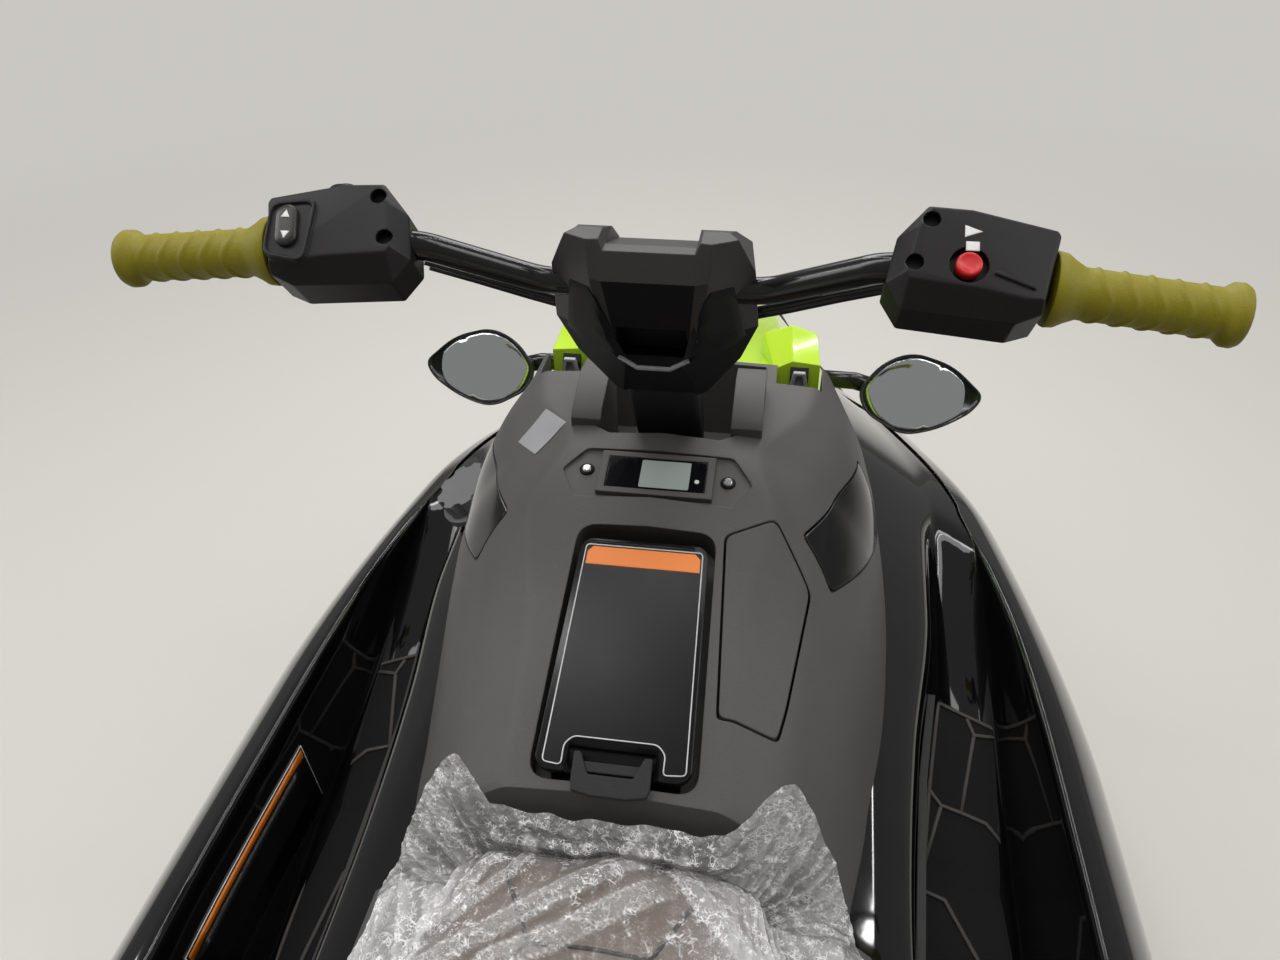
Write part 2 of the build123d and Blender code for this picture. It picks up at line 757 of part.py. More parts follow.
def hood_blank(inset):
    faces = []
    for y, mid_z, ridge_x, ridge_z, side_x, side_z, rim_x, rim_z in HOOD_STATIONS:
        half = [
            (0, y, mid_z - inset),
            (ridge_x - inset * 0.7, y, ridge_z - inset),
            (side_x - inset, y, side_z - inset * 0.6),
            (rim_x - inset, y, rim_z),
        ]
        faces.append(polygon_face(both_sides(half)))
    return loft(faces)


def hood_ear():
    """The raised starboard rear corner of the hood."""
    faces = []
    for y, inner_x, inner_z, peak_x, peak_z, outer_x, outer_z in EAR_STATIONS:
        top = [(inner_x, inner_z), (peak_x, peak_z), (outer_x, outer_z)]
        corners = [(inner_x, EAR_FOOT_Z)] + top + [(outer_x, EAR_FOOT_Z)]
        faces.append(polygon_face([(x, y, z) for x, z in corners]))
    return loft(faces, ruled=True)


HINGE_LUG_X = 44.0
HINGE_LUG_HALF = 8.0
HINGE_LUG_R = 12.0
HINGE_PIN_HALF = HINGE_LUG_X + 12
HINGE_FOOT_HALF = 30.0
HINGE_FOOT_Z = 230.0


def make_hood():
    outer = hood_blank(0)
    rear_y, front_y = HOOD_STATIONS[0][0], HOOD_STATIONS[-1][0]
    shell = outer - hood_blank(HOOD_WALL)
    shell += outer & block((-200, front_y - HOOD_WALL, 200), (200, front_y + 20, 700))
    shell += outer & block((-300, rear_y, 400), (300, rear_y + HOOD_WALL, 900))
    ear = hood_ear() - hood_blank(HOOD_WALL)
    shell += ear
    shell += mirrored(ear)
    for side in (-1, 1):
        low, high = side * HINGE_LUG_X - HINGE_LUG_HALF, side * HINGE_LUG_X + HINGE_LUG_HALF
        top_z = HOOD_HINGE_Z + HINGE_LUG_R
        shell += block((low, front_y - HOOD_WALL - 2, HOOD_HINGE_Z - 10), (high, HOOD_HINGE_Y, top_z))
        shell += cross_rod(HOOD_HINGE_Y, HOOD_HINGE_Z, HINGE_LUG_R, low, high)
    return shell - cross_rod(HOOD_HINGE_Y, HOOD_HINGE_Z, HINGE_PIN_R + PIN_PLAY, -70, 70)


def make_hood_hinge():
    """The pin at the bow that the hood turns on, and the block that holds it."""
    outline = [
        (HOOD_HINGE_Y - 9, HINGE_FOOT_Z),
        (HOOD_HINGE_Y - 9, HOOD_HINGE_Z + 6),
        (HOOD_HINGE_Y + 9, HOOD_HINGE_Z + 6),
        (HOOD_HINGE_Y + 22, HINGE_FOOT_Z),
    ]
    foot = biggest(side_prism(outline, -HINGE_FOOT_HALF, HINGE_FOOT_HALF) - BODY)
    return foot + cross_rod(HOOD_HINGE_Y, HOOD_HINGE_Z, HINGE_PIN_R, -HINGE_PIN_HALF, HINGE_PIN_HALF)


MIRROR_CENTRE = (268.0, 618.0, 640.0)
MIRROR_FACING = (0.1, -0.86, 0.5)
MIRROR_OUTLINE = [
    (89, -4), (50, 34), (0, 51), (-36, 38), (-66, 4), (-56, -24), (-10, -53), (36, -44), (74, -24),
]
MIRROR_DEPTH = 30.0
MIRROR_LIP = 3.0
MIRROR_BACK_SCALE = 0.62
MIRROR_SEAT_SCALE = 0.93
MIRROR_GLASS_SCALE = 0.925
MIRROR_STALK = ((150.0, 640.0, 640.0), (236.0, 630.0, 640.0))
MIRROR_STALK_R = 11.0


def mirror_plane(lift=0.0):
    normal = Vector(*MIRROR_FACING).normalized()
    return Plane(origin=Vector(*MIRROR_CENTRE) + normal * lift, x_dir=(1, 0.12, 0), z_dir=normal)


def scaled_outline(scale):
    return make_face(Polyline(*[(x * scale, y * scale) for x, y in MIRROR_OUTLINE], close=True))


def make_mirror_housings():
    rim = mirror_plane() * scaled_outline(1.0)
    back = mirror_plane(-MIRROR_DEPTH) * scaled_outline(MIRROR_BACK_SCALE)
    housing = loft([rim, back], ruled=True) + extrude(rim, amount=MIRROR_LIP)
    housing -= extrude(mirror_plane() * scaled_outline(MIRROR_SEAT_SCALE), amount=10)
    stalk = biggest(rod(*MIRROR_STALK, MIRROR_STALK_R) - hood_blank(0))
    housing += stalk - extrude(mirror_plane(-1) * Rectangle(400, 400), amount=100)
    return pair(housing)


def make_mirror_glasses():
    return pair(extrude(mirror_plane() * scaled_outline(MIRROR_GLASS_SCALE), amount=MIRROR_LIP / 2))


LATCH_X = 128.0
LATCH_HALF = 10.0
LATCH_KNOB_Z = 711.0
LATCH_KNOB_R = 7.0


def make_hood_latches():
    """A strap down the hood's rear face with a knob on it, on each side."""
    rear_y = HOOD_STATIONS[0][0]
    outline = [(rear_y, 688), (rear_y - 6, 688), (rear_y - 6, 728), (rear_y, 736)]
    strap = side_prism(outline, LATCH_X - LATCH_HALF, LATCH_X + LATCH_HALF)
    knob = rod((LATCH_X, rear_y - 3, LATCH_KNOB_Z), (LATCH_X, rear_y - 14, LATCH_KNOB_Z), LATCH_KNOB_R)
    return pair(strap + knob)


BAR_BEND = 40.0


def make_handlebar(grow=0.0):
    x1, y1, z1 = BAR_SIDE
    x2, y2, z2 = BAR_ELBOW
    x3, y3, z3 = BAR_END
    points = [(-x3, y3, z3), (-x2, y2, z2), (-x1, y1, z1), (x1, y1, z1), (x2, y2, z2), (x3, y3, z3)]
    return swept_rod(points, BAR_BEND, BAR_R + grow)


def pad_blank():
    """The faceted pad, with its notch and its recess, before the bars go through it."""
    faces = []
    for z, mid_x, mid_y, ridge_x, ridge_y, side_x, side_y, front_x, front_y in PAD_STATIONS:
        half = [
            (0, mid_y),
            (mid_x, mid_y),
            (ridge_x, ridge_y),
            (side_x, side_y),
            (front_x, front_y),
            (0, front_y),
        ]
        points = half + [(-x, y) for x, y in reversed(half) if x > 0]
        faces.append(polygon_face([(x, y, z) for x, y in points]))
    return loft(faces, ruled=True) - front_prism(PAD_NOTCH, 200, 400)


def make_bar_pad():
    pad = pad_blank() - front_prism(PAD_RECESS, 200, PAD_RECESS_Y)
    return pad - make_handlebar(CLEAR)


NECK_HALF = 34.0


def make_neck():
    """The shrouded neck: a round stem in its bearing, and a box up to the pad."""
    stem = extrude(column_plane(-150) * Circle(COLUMN_R), amount=170)
    narrow = NECK_HALF - 6
    corners = [(-NECK_HALF, -26), (NECK_HALF, -26), (narrow, 34), (-narrow, 34)]
    outline = fillet(make_face(Polyline(*corners, close=True)).vertices(), 8)
    box = extrude(column_plane(-45) * outline, amount=190)
    return biggest(stem + box - pad_blank())


def grip_plane(x):
    """Plane across the starboard bar at a distance from the centre plane, facing outboard."""
    start, end = Vector(*BAR_ELBOW), Vector(*BAR_END)
    share = (x - start.X) / (end.X - start.X)
    return Plane(origin=start + (end - start) * share, z_dir=end - start)


# Columns: distance along the grip, radius
GRIP_PROFILE = [
    (0, 27), (8, 25), (20, GRIP_R), (118, GRIP_R), (122, 23), (128, 23), (GRIP_LENGTH, GRIP_R - 2),
]
GRIP_END_WALL = 2.5


def make_grips():
    """Grips with a flared collar, a flange and a closed end."""
    inner, end = BAR_R + CLEAR, GRIP_LENGTH - GRIP_END_WALL
    skin = [(radius, along) for along, radius in GRIP_PROFILE]
    points = [(inner, 0), *skin, (0, GRIP_LENGTH), (0, end), (inner, end)]
    face = make_face(Polyline(*[(x, 0, y) for x, y in points], close=True))
    grip = revolve(face, axis=Axis.Z)
    return pair(grip_plane(GRIP_INNER) * grip)


def housing_plane(lift=0.0):
    normal = Vector(0, -0.6, 0.8)
    origin = grip_plane(HOUSING_X).origin + normal * (HOUSING_DEPTH / 2 + lift)
    return Plane(origin=origin, x_dir=(1, 0, 0), z_dir=normal)


def housing_face(lift, shrink):
    points = [(x * shrink, y * shrink) for x, y in HOUSING_OUTLINE]
    return housing_plane(lift) * make_face(Polyline(*points, close=True))


def housing_blank():
    """The starboard switch housing, with its edges bevelled on both faces."""
    edge, rear_edge = housing_face(-HOUSING_BEVEL, 1), housing_face(HOUSING_BEVEL - HOUSING_DEPTH, 1)
    front = loft([housing_face(0, HOUSING_FRONT_SCALE), edge], ruled=True)
    middle = extrude(edge, amount=2 * HOUSING_BEVEL - HOUSING_DEPTH)
    back = loft([rear_edge, housing_face(-HOUSING_DEPTH, HOUSING_BACK_SCALE)], ruled=True)
    return front + middle + back


BUTTON_AT = (-4.0, -4.0)
BUTTON_R = 9.0
ROCKER_AT = (36.0, 1.0)


def screw_holes():
    holes = [housing_plane(1) * (Pos(*spot) * Circle(SCREW_HOLE_R)) for spot in HOUSING_SCREWS]
    return Compound([extrude(hole, amount=-1 - SCREW_HOLE_DEPTH) for hole in holes])


def make_switch_housing_starboard():
    housing = housing_blank() - make_handlebar(CLEAR)
    recess = extrude(housing_plane(1) * (Pos(*BUTTON_AT) * Circle(BUTTON_R + 4)), amount=-7)
    return housing - recess - screw_holes()


def make_switch_housing_port():
    housing = mirrored(housing_blank()) - make_handlebar(CLEAR)
    return housing - mirrored(rocker_shape(CLEAR)) - mirrored(screw_holes())


def rocker_shape(grow):
    spot = housing_plane(3 + grow) * (Pos(*ROCKER_AT) * Ellipse(9 + grow, 17 + grow))
    return extrude(spot, amount=-9 - 2 * grow)


def make_stop_button():
    return extrude(housing_plane(-5.7) * (Pos(*BUTTON_AT) * Circle(BUTTON_R)), amount=8)


def make_trim_rocker():
    return mirrored(rocker_shape(0))


LEVER_RUN = [(244, 252, 962), (290, 282, 958), (346, 282, 956), (396, 268, 955)]
LEVER_BEND = 14.0
LEVER_R = 6.5
CABLE_RUN = [(184, 262, 964), (150, 274, 948), (110, 292, 926), (74, 300, 912)]
CABLE_GAP = 9.0
CABLE_BEND = 30.0
CABLE_R = 3.5


def make_lever(side):
    """A finger lever that reaches forward of the grip from its housing."""
    lever = swept_rod([(side * x, y, z) for x, y, z in LEVER_RUN], LEVER_BEND, LEVER_R)
    housing = housing_blank() if side > 0 else mirrored(housing_blank())
    lever -= housing
    return biggest(lever)


def make_control_cables():
    """Two cables on each side, from the housings down beside the bars into the pad."""
    cables = []
    for side in (-1, 1):
        for drop in (0, CABLE_GAP):
            cable = swept_rod([(side * x, y + drop, z - drop) for x, y, z in CABLE_RUN], CABLE_BEND, CABLE_R)
            housing = housing_blank() if side > 0 else mirrored(housing_blank())
            cable -= housing
            cable -= pad_blank()
            cables.append(biggest(cable))
    return Compound(cables)


def bottom_skin(half, rear_y, front_y, thick):
    """A strip of the hull's V bottom, of even height, between two stations."""
    strip = BODY & block((-half, rear_y, -DRAFT - 60), (half, front_y, -DRAFT / 2))
    return strip - Pos(0, 0, thick) * strip


RIDE_PLATE_REAR_Y = STERN_Y + 70
RIDE_PLATE_THICK = 9.0
GRATE_THICK = 12.0
GRATE_BAR = 9.0
GRATE_X = (-52, -26, 0, 26, 52)


def make_ride_plate():
    """The plate that closes the bottom under the pump."""
    return bottom_skin(RECESS_HALF - CLEAR, RIDE_PLATE_REAR_Y, RECESS_FRONT_Y - CLEAR, RIDE_PLATE_THICK)


def make_intake_grate():
    """Bars along the keel across the intake slot, joined by a bar at each end."""
    rear_y, front_y = DUCT_BACK_Y + CLEAR, DUCT_FRONT_Y - CLEAR
    skin = bottom_skin(DUCT_HALF - CLEAR, rear_y, front_y, GRATE_THICK)
    bars = block((-DUCT_HALF, rear_y, -300), (DUCT_HALF, rear_y + 22, 0))
    bars += block((-DUCT_HALF, front_y - 18, -300), (DUCT_HALF, front_y, 0))
    for x in GRATE_X:
        bars += block((x - GRATE_BAR / 2, rear_y, -300), (x + GRATE_BAR / 2, front_y, 0))
    return skin & bars


NOZZLE_WIDE_R = NOZZLE_BORE_R + 20 + NOZZLE_WALL
NOZZLE_LEAD = 16.0
OUTLET_R = NOZZLE_BORE_R
YOKE_FRONT_Y = PUMP_REAR_Y + 25
YOKE_INNER = NOZZLE_WIDE_R + 7
YOKE_THICK = 8.0
NOZZLE_PIN_R = 9.0
BUCKET_PIN_R = 8.0
HUB_R = 30.0
VANES = 5
VANE_THICK = 4.0
BLADES = 3
BLADE_THICK = 4.0


def yoke_arms():
    """Arms over, under and beside the nozzle: two eyes for its pins, and the bucket's two pivots."""
    rear_y = NOZZLE_PIVOT_Y - 15
    arms = block((-16, rear_y, SHAFT_Z + YOKE_INNER), (16, YOKE_FRONT_Y, SHAFT_Z + YOKE_INNER + YOKE_THICK))
    arms += block((-16, rear_y, SHAFT_Z - YOKE_INNER - YOKE_THICK), (16, YOKE_FRONT_Y, SHAFT_Z - YOKE_INNER))
    arms -= rod((0, NOZZLE_PIVOT_Y, SHAFT_Z - 90), (0, NOZZLE_PIVOT_Y, SHAFT_Z + 90), NOZZLE_PIN_R + PIN_PLAY)
    for side in (-1, 1):
        low, high = sorted((side * YOKE_INNER, side * (YOKE_INNER + YOKE_THICK)))
        arms += block((low, rear_y, SHAFT_Z - 14), (high, YOKE_FRONT_Y, SHAFT_Z + 14))
        low, high = sorted((side * YOKE_INNER, side * (BUCKET_HALF + 5)))
        arms += cross_rod(NOZZLE_PIVOT_Y, SHAFT_Z, BUCKET_PIN_R, low, high)
    return arms


def make_pump_housing():
    """The stator housing with its flange, straight vanes, tail cone and outlet nozzle."""
    rear = PUMP_REAR_Y
    outlet_y = NOZZLE_PIVOT_Y + 30
    half = [
        (PUMP_BORE_R, RECESS_FRONT_Y - CLEAR),
        (PUMP_OUTER_R + 16, RECESS_FRONT_Y - CLEAR),
        (PUMP_OUTER_R + 16, RECESS_FRONT_Y - 12),
        (PUMP_OUTER_R, RECESS_FRONT_Y - 12),
        (PUMP_OUTER_R, rear + 40),
        (OUTLET_R, outlet_y),
        (OUTLET_R - 6, outlet_y),
        (PUMP_BORE_R, rear + 42),
    ]
    axis = Axis((0, 0, SHAFT_Z), (0, 1, 0))
    housing = revolve(polygon_face([(r, y, SHAFT_Z) for r, y in half]), axis=axis)
    hub = [(0, rear + 92), (HUB_R, rear + 92), (HUB_R, rear + 30), (8, rear - 30), (0, rear - 30)]
    housing += revolve(polygon_face([(r, y, SHAFT_Z) for r, y in hub]), axis=axis)
    housing += yoke_arms()
    low = (26, rear + 44, SHAFT_Z - VANE_THICK / 2)
    vane = block(low, (PUMP_BORE_R + 2, rear + 88, SHAFT_Z + VANE_THICK / 2))
    for index in range(VANES):
        housing += vane.rotate(axis, 360 / VANES * index + 18)
    return housing


def make_impeller():
    """The shaft with a tapered hub and three twisted blades."""
    front_y, rear_y = PUMP_FRONT_Y - 24, PUMP_REAR_Y + 98
    axis = Axis((0, 0, SHAFT_Z), (0, 1, 0))
    hub = [(0, front_y), (20, front_y), (HUB_R, rear_y), (0, rear_y)]
    shape = revolve(polygon_face([(r, y, SHAFT_Z) for r, y in hub]), axis=axis)
    shape += rod((0, rear_y, SHAFT_Z), (0, SHAFT_FRONT_Y, SHAFT_Z), SHAFT_R)
    middle = (front_y + rear_y) / 2
    # Columns: radius, blade angle to the shaft, chord
    rows = [(18, 28, 59.2), (45, 52, 67.2), (IMPELLER_R, 64, 73.6)]
    faces = []
    for radius, angle, chord in rows:
        turn = radians(angle)
        along = Vector(0, cos(turn), sin(turn))
        plane = Plane(origin=(radius, middle, SHAFT_Z), x_dir=along, z_dir=(1, 0, 0))
        faces.append(plane * Rectangle(chord, BLADE_THICK))
    blade = loft(faces, ruled=True)
    limit = rod((0, rear_y + 2, SHAFT_Z), (0, front_y - 2, SHAFT_Z), IMPELLER_R)
    blade &= limit
    for index in range(BLADES):
        shape += blade.rotate(axis, 360 / BLADES * index)
    return shape


def make_steering_nozzle():
    """The cone that turns on two upright pins and points the jet."""
    start_y, end_y = NOZZLE_PIVOT_Y + NOZZLE_LEAD, NOZZLE_PIVOT_Y - NOZZLE_TAIL
    half = [
        (NOZZLE_WIDE_R - NOZZLE_WALL, start_y),
        (NOZZLE_WIDE_R, start_y),
        (NOZZLE_BORE_R + NOZZLE_WALL, end_y),
        (NOZZLE_BORE_R, end_y),
    ]
    axis = Axis((0, 0, SHAFT_Z), (0, 1, 0))
    nozzle = revolve(polygon_face([(r, y, SHAFT_Z) for r, y in half]), axis=axis)
    for side in (-1, 1):
        low, high = sorted((SHAFT_Z + side * (NOZZLE_WIDE_R - 5), SHAFT_Z + side * (YOKE_INNER + YOKE_THICK)))
        nozzle += rod((0, NOZZLE_PIVOT_Y, low), (0, NOZZLE_PIVOT_Y, high), NOZZLE_PIN_R)
    return nozzle


def make_reverse_bucket():
    """A curved gate on two side arms that swings down behind the nozzle."""
    y, z = NOZZLE_PIVOT_Y, SHAFT_Z
    outer = cross_rod(y, z, BUCKET_R, -BUCKET_HALF, BUCKET_HALF)
    inner = cross_rod(y, z, BUCKET_R - BUCKET_WALL, -BUCKET_HALF + BUCKET_WALL, BUCKET_HALF - BUCKET_WALL)
    wedge = side_prism([(y, z), (y - 200, z + 116), (y - 200, z + 300), (y + 55, z + 300)], -200, 200)
    gate = (outer - inner) & wedge
    for side in (-1, 1):
        low, high = sorted((side * BUCKET_HALF, side * (BUCKET_HALF - BUCKET_WALL)))
        gate += cross_rod(y, z, 18, low, high)
    return gate - cross_rod(y, z, BUCKET_PIN_R + PIN_PLAY, -BUCKET_HALF - 5, BUCKET_HALF + 5)


PIECES = {
    "hull": make_hull,
    "deck": make_deck,
    "gunwales": make_gunwales,
    "bumper": make_bumper,
    "sponsons": make_sponsons,
    "stern_eyes": make_stern_eyes,
    "tow_eye": make_tow_eye,
    "bow_eye": make_bow_eye,
    "bow_bin": make_bow_bin,
    "footwell_mats": make_mats,
    "rear_mat": make_rear_mat,
    "knee_panels": make_knee_panels,
    "fuel_cap": make_fuel_cap,
    "cowl": make_cowl,
    "access_panel": make_access_panel,
    "smoked_panels": make_smoked_panels,
    "glove_bin": make_glove_bin,
    "glove_lid": make_glove_lid,
    "lid_latch": make_lid_latch,
    "display": make_display,
    "display_glass": make_display_glass,
    "seat_base": make_seat_base,
    "grab_handle": make_grab_handle,
    "hood": make_hood,
    "hood_hinge": make_hood_hinge,
    "hood_latches": make_hood_latches,
    "mirror_housings": make_mirror_housings,
    "mirror_glasses": make_mirror_glasses,
    "handlebar": make_handlebar,
    "bar_pad": make_bar_pad,
    "steering_neck": make_neck,
    "grips": make_grips,
    "switch_housing_starboard": make_switch_housing_starboard,
    "switch_housing_port": make_switch_housing_port,
    "stop_button": make_stop_button,
    "trim_rocker": make_trim_rocker,
    "control_cables": make_control_cables,
    "ride_plate": make_ride_plate,
    "intake_grate": make_intake_grate,
    "pump_housing": make_pump_housing,
    "impeller": make_impeller,
    "steering_nozzle": make_steering_nozzle,
    "reverse_bucket": make_reverse_bucket,
}

for piece, maker in PIECES.items():
    export(piece, maker())
export("seat_front", make_seat(SEAT_FRONT_STATIONS))
export("seat_rear", make_seat(SEAT_REAR_STATIONS))
export("throttle_lever", make_lever(1))
export("brake_lever", make_lever(-1))
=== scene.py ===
import json
from functools import partial
from math import atan2, cos, hypot, pi, radians, sin

import bmesh
import bpy
from mathutils import Matrix, Vector
from mathutils import noise as noise_kit
from mathutils.bvhtree import BVHTree


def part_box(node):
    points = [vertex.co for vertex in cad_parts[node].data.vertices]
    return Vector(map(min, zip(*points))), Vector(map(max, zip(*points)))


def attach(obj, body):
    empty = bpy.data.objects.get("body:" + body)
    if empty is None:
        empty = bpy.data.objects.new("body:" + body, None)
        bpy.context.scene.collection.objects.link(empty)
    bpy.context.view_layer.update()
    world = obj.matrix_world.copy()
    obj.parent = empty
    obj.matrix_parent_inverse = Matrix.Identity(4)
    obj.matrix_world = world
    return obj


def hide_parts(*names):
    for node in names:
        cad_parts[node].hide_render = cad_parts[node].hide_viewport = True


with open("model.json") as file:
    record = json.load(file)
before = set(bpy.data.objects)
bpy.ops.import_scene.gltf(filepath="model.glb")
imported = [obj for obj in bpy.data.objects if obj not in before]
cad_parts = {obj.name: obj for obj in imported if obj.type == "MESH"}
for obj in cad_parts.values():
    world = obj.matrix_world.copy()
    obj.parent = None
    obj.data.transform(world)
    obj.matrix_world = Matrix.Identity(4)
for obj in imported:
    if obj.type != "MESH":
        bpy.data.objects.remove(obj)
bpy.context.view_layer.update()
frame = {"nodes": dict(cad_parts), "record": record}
nodes = frame["nodes"]

SIDES = ((-1, "port"), (1, "starboard"))

# Camera, placed by the photograph: metres, with the image taken as 1280 by 960 pixels
CAMERA_AT = (0.106, -0.439, 1.315)
CAMERA_RIGHT = (0.9884, 0.1504, -0.0208)
CAMERA_DOWN = (0.0769, -0.6142, -0.7854)
FOCAL_PIXELS, IMAGE_WIDTH = 987.7, 1280
SENSOR_MM = 36.0

# Studio
WORLD_COLOUR, WORLD_STRENGTH = (0.62, 0.62, 0.61, 1), 0.36
BACKDROP_COLOUR = (0.585, 0.57, 0.535, 1)
FLOOR_COLOUR, FLOOR_ROUGHNESS, FLOOR_SIZE = (0.62, 0.60, 0.56, 1), 0.55, 60
# Distances from the origin between which the floor goes over to the backdrop's colour
FLOOR_FADE = (1.0, 4.2)
LAMP_AIM = (0, 0, 0.4)
# Lamps on both sides: name, place to starboard, size, power to port and to starboard, whether they light
SIDE_LAMPS = [
    ("strip", (2.2, 0.6, 3.2), (0.25, 4.5), (30, 18), True),
    ("strip_low", (3.2, 0.4, 1.9), (0.12, 4.0), (12, 12), True),
    ("strip_high", (0.8, 1.6, 3.5), (0.07, 3.0), (14, 14), True),
    ("sheen", (3.0, 0.0, 2.7), (0.9, 5.0), (36, 36), False),
]
# Lamps over the middle: name, place, size, power, whether it shows in gloss
MIDDLE_LAMPS = [
    ("overhead", (0.0, -0.6, 3.6), (2.4, 1.4), 38, False),
    ("bow", (-0.2, 3.7, 3.1), (3.4, 1.6), 75, True),
]


def in_scene(name, data):
    """A new object, put in the scene."""
    obj = bpy.data.objects.new(name, data)
    bpy.context.scene.collection.objects.link(obj)
    return obj


def make_camera():
    data = bpy.data.cameras.new("camera")
    data.sensor_width = SENSOR_MM
    data.lens = FOCAL_PIXELS / IMAGE_WIDTH * SENSOR_MM
    camera = in_scene("camera", data)
    right, up = Vector(CAMERA_RIGHT).normalized(), -Vector(CAMERA_DOWN).normalized()
    axes = Matrix((right, up, right.cross(up))).transposed().to_4x4()
    camera.matrix_world = Matrix.Translation(CAMERA_AT) @ axes
    bpy.context.scene.camera = camera


def area_light(name, at, size, power, diffuse=True, glossy=True):
    data = bpy.data.lights.new(name, "AREA")
    data.shape, data.energy = "RECTANGLE", power
    data.size, data.size_y = size
    light = in_scene(name, data)
    light.location = at
    light.rotation_euler = (Vector(LAMP_AIM) - Vector(at)).to_track_quat("-Z", "Y").to_euler()
    light.visible_diffuse, light.visible_glossy = diffuse, glossy


def make_world():
    """Soft grey light all round, and a plain backdrop where the camera looks past the craft."""
    world = bpy.data.worlds.new("studio")
    world.use_nodes = True
    around = world.node_tree.nodes["Background"]
    around.inputs["Color"].default_value = WORLD_COLOUR
    around.inputs["Strength"].default_value = WORLD_STRENGTH
    seen = node(world, "ShaderNodeBackground", Color=BACKDROP_COLOUR, Strength=1.0)
    ray = node(world, "ShaderNodeLightPath")
    mix_surfaces(world, (ray, "Is Camera Ray"), around, seen, "World Output")
    bpy.context.scene.world = world
    bpy.context.scene.view_settings.view_transform = "Standard"


def floor_paint():
    """Pale paint that the lamps light near the craft, and an even pale ground further out."""
    paint, shader = principled("floor_paint", FLOOR_COLOUR, FLOOR_ROUGHNESS)
    space = node(paint, "ShaderNodeTexCoord")
    distance = node(paint, "ShaderNodeVectorMath", [(0, space, "Object")], operation="LENGTH")
    near, far = FLOOR_FADE
    fade = node(paint, "ShaderNodeMapRange", [("Value", distance, "Value")], interpolation_type="SMOOTHSTEP",
                From_Min=near, From_Max=far)
    ray = node(paint, "ShaderNodeLightPath")
    links = [(0, fade, "Result"), (1, ray, "Is Camera Ray")]
    share = node(paint, "ShaderNodeMath", links, operation="MULTIPLY")
    ground = node(paint, "ShaderNodeEmission", Color=BACKDROP_COLOUR, Strength=1.0)
    mix_surfaces(paint, (share, "Value"), shader, ground, "Material Output")
    return paint


def make_stage():
    bpy.ops.mesh.primitive_plane_add(size=FLOOR_SIZE)
    floor = bpy.context.object
    floor.name = "floor"
    floor.data.materials.append(floor_paint())
    for k, (side, _) in enumerate(SIDES):
        for name, (x, y, z), size, powers, lights in SIDE_LAMPS:
            area_light(name, (side * x, y, z), size, powers[k], diffuse=lights)
    for name, at, size, power, shows in MIDDLE_LAMPS:
        area_light(name, at, size, power, glossy=shows)


# Materials

def principled(name, colour, roughness, **more):
    """A new material and its shader, with constant values set on the shader's own sockets."""
    material = bpy.data.materials.new(name)
    material.use_nodes = True
    shader = material.node_tree.nodes["Principled BSDF"]
    shader.inputs["Base Color"].default_value = colour
    shader.inputs["Roughness"].default_value = roughness
    for socket, value in more.items():
        shader.inputs[socket.replace("_", " ")].default_value = value
    return material, shader


def link(owner, source, out, target, socket):
    owner.node_tree.links.new(source.outputs[out], target.inputs[socket])


def node(owner, kind, links=(), **values):
    """A new node with its settings and socket values; its links are (socket, source, the source's output)."""
    made = owner.node_tree.nodes.new(kind)
    for key, value in values.items():
        if hasattr(made, key):
            setattr(made, key, value)
        else:
            made.inputs[key.replace("_", " ")].default_value = value
    for socket, source, out in links:
        link(owner, source, out, made, socket)
    return made


def mix_surfaces(owner, share, first, second, output):
    """Shows the first shader where the share is 0 and the second where it is 1."""
    mix = node(owner, "ShaderNodeMixShader", [(0, *share), (1, first, 0), (2, second, 0)])
    link(owner, mix, 0, owner.node_tree.nodes[output], "Surface")


def pattern(material, kind, **values):
    """A texture in the object's own space, in cells per metre."""
    space = node(material, "ShaderNodeTexCoord")
    return node(material, "ShaderNodeTex" + kind, [("Vector", space, "Object")], **values)


def noise(material, scale, detail=4.0, rough=0.55):
    return pattern(material, "Noise", Scale=scale, Detail=detail, Roughness=rough)


RAMP_ENDS = (0.35, 0.65)
EDGE_ROUNDING = 0.0018


def vary_colour(material, shader, low, high, scale, detail=4.0):
    ramp = node(material, "ShaderNodeValToRGB", [("Fac", noise(material, scale, detail), "Fac")])
    for element, position, colour in zip(ramp.color_ramp.elements, RAMP_ENDS, (low, high)):
        element.position, element.color = position, (*colour, 1)
    link(material, ramp, "Color", shader, "Base Color")


def vary_roughness(material, shader, low, high, scale):
    cells = noise(material, scale, detail=6.0)
    span = node(material, "ShaderNodeMapRange", [("Value", cells, "Fac")], To_Min=low, To_Max=high)
    link(material, span, "Result", shader, "Roughness")


def add_bump(material, shader, scale, depth, detail=2.0):
    """Raises the surface by a noise, with its depth in metres, and softens its edges."""
    edge = node(material, "ShaderNodeBevel", samples=4, Radius=EDGE_ROUNDING)
    links = [("Normal", edge, "Normal"), ("Height", noise(material, scale, detail), "Fac")]
    bump = node(material, "ShaderNodeBump", links, Strength=1.0, Distance=depth)
    link(material, bump, "Normal", shader, "Normal")


def gloss(name, low, high, rough_low, rough_high, coat=0.0, specular=0.5):
    """Smooth plastic or paint with broad faint patches."""
    more = {"Coat_Weight": coat, "Coat_Roughness": 0.03, "Specular_IOR_Level": specular}
    material, shader = principled(name, (*low, 1), rough_low, **more)
    vary_colour(material, shader, low, high, scale=9)
    vary_roughness(material, shader, rough_low, rough_high, scale=35)
    add_bump(material, shader, scale=70, depth=0.00003)
    return material


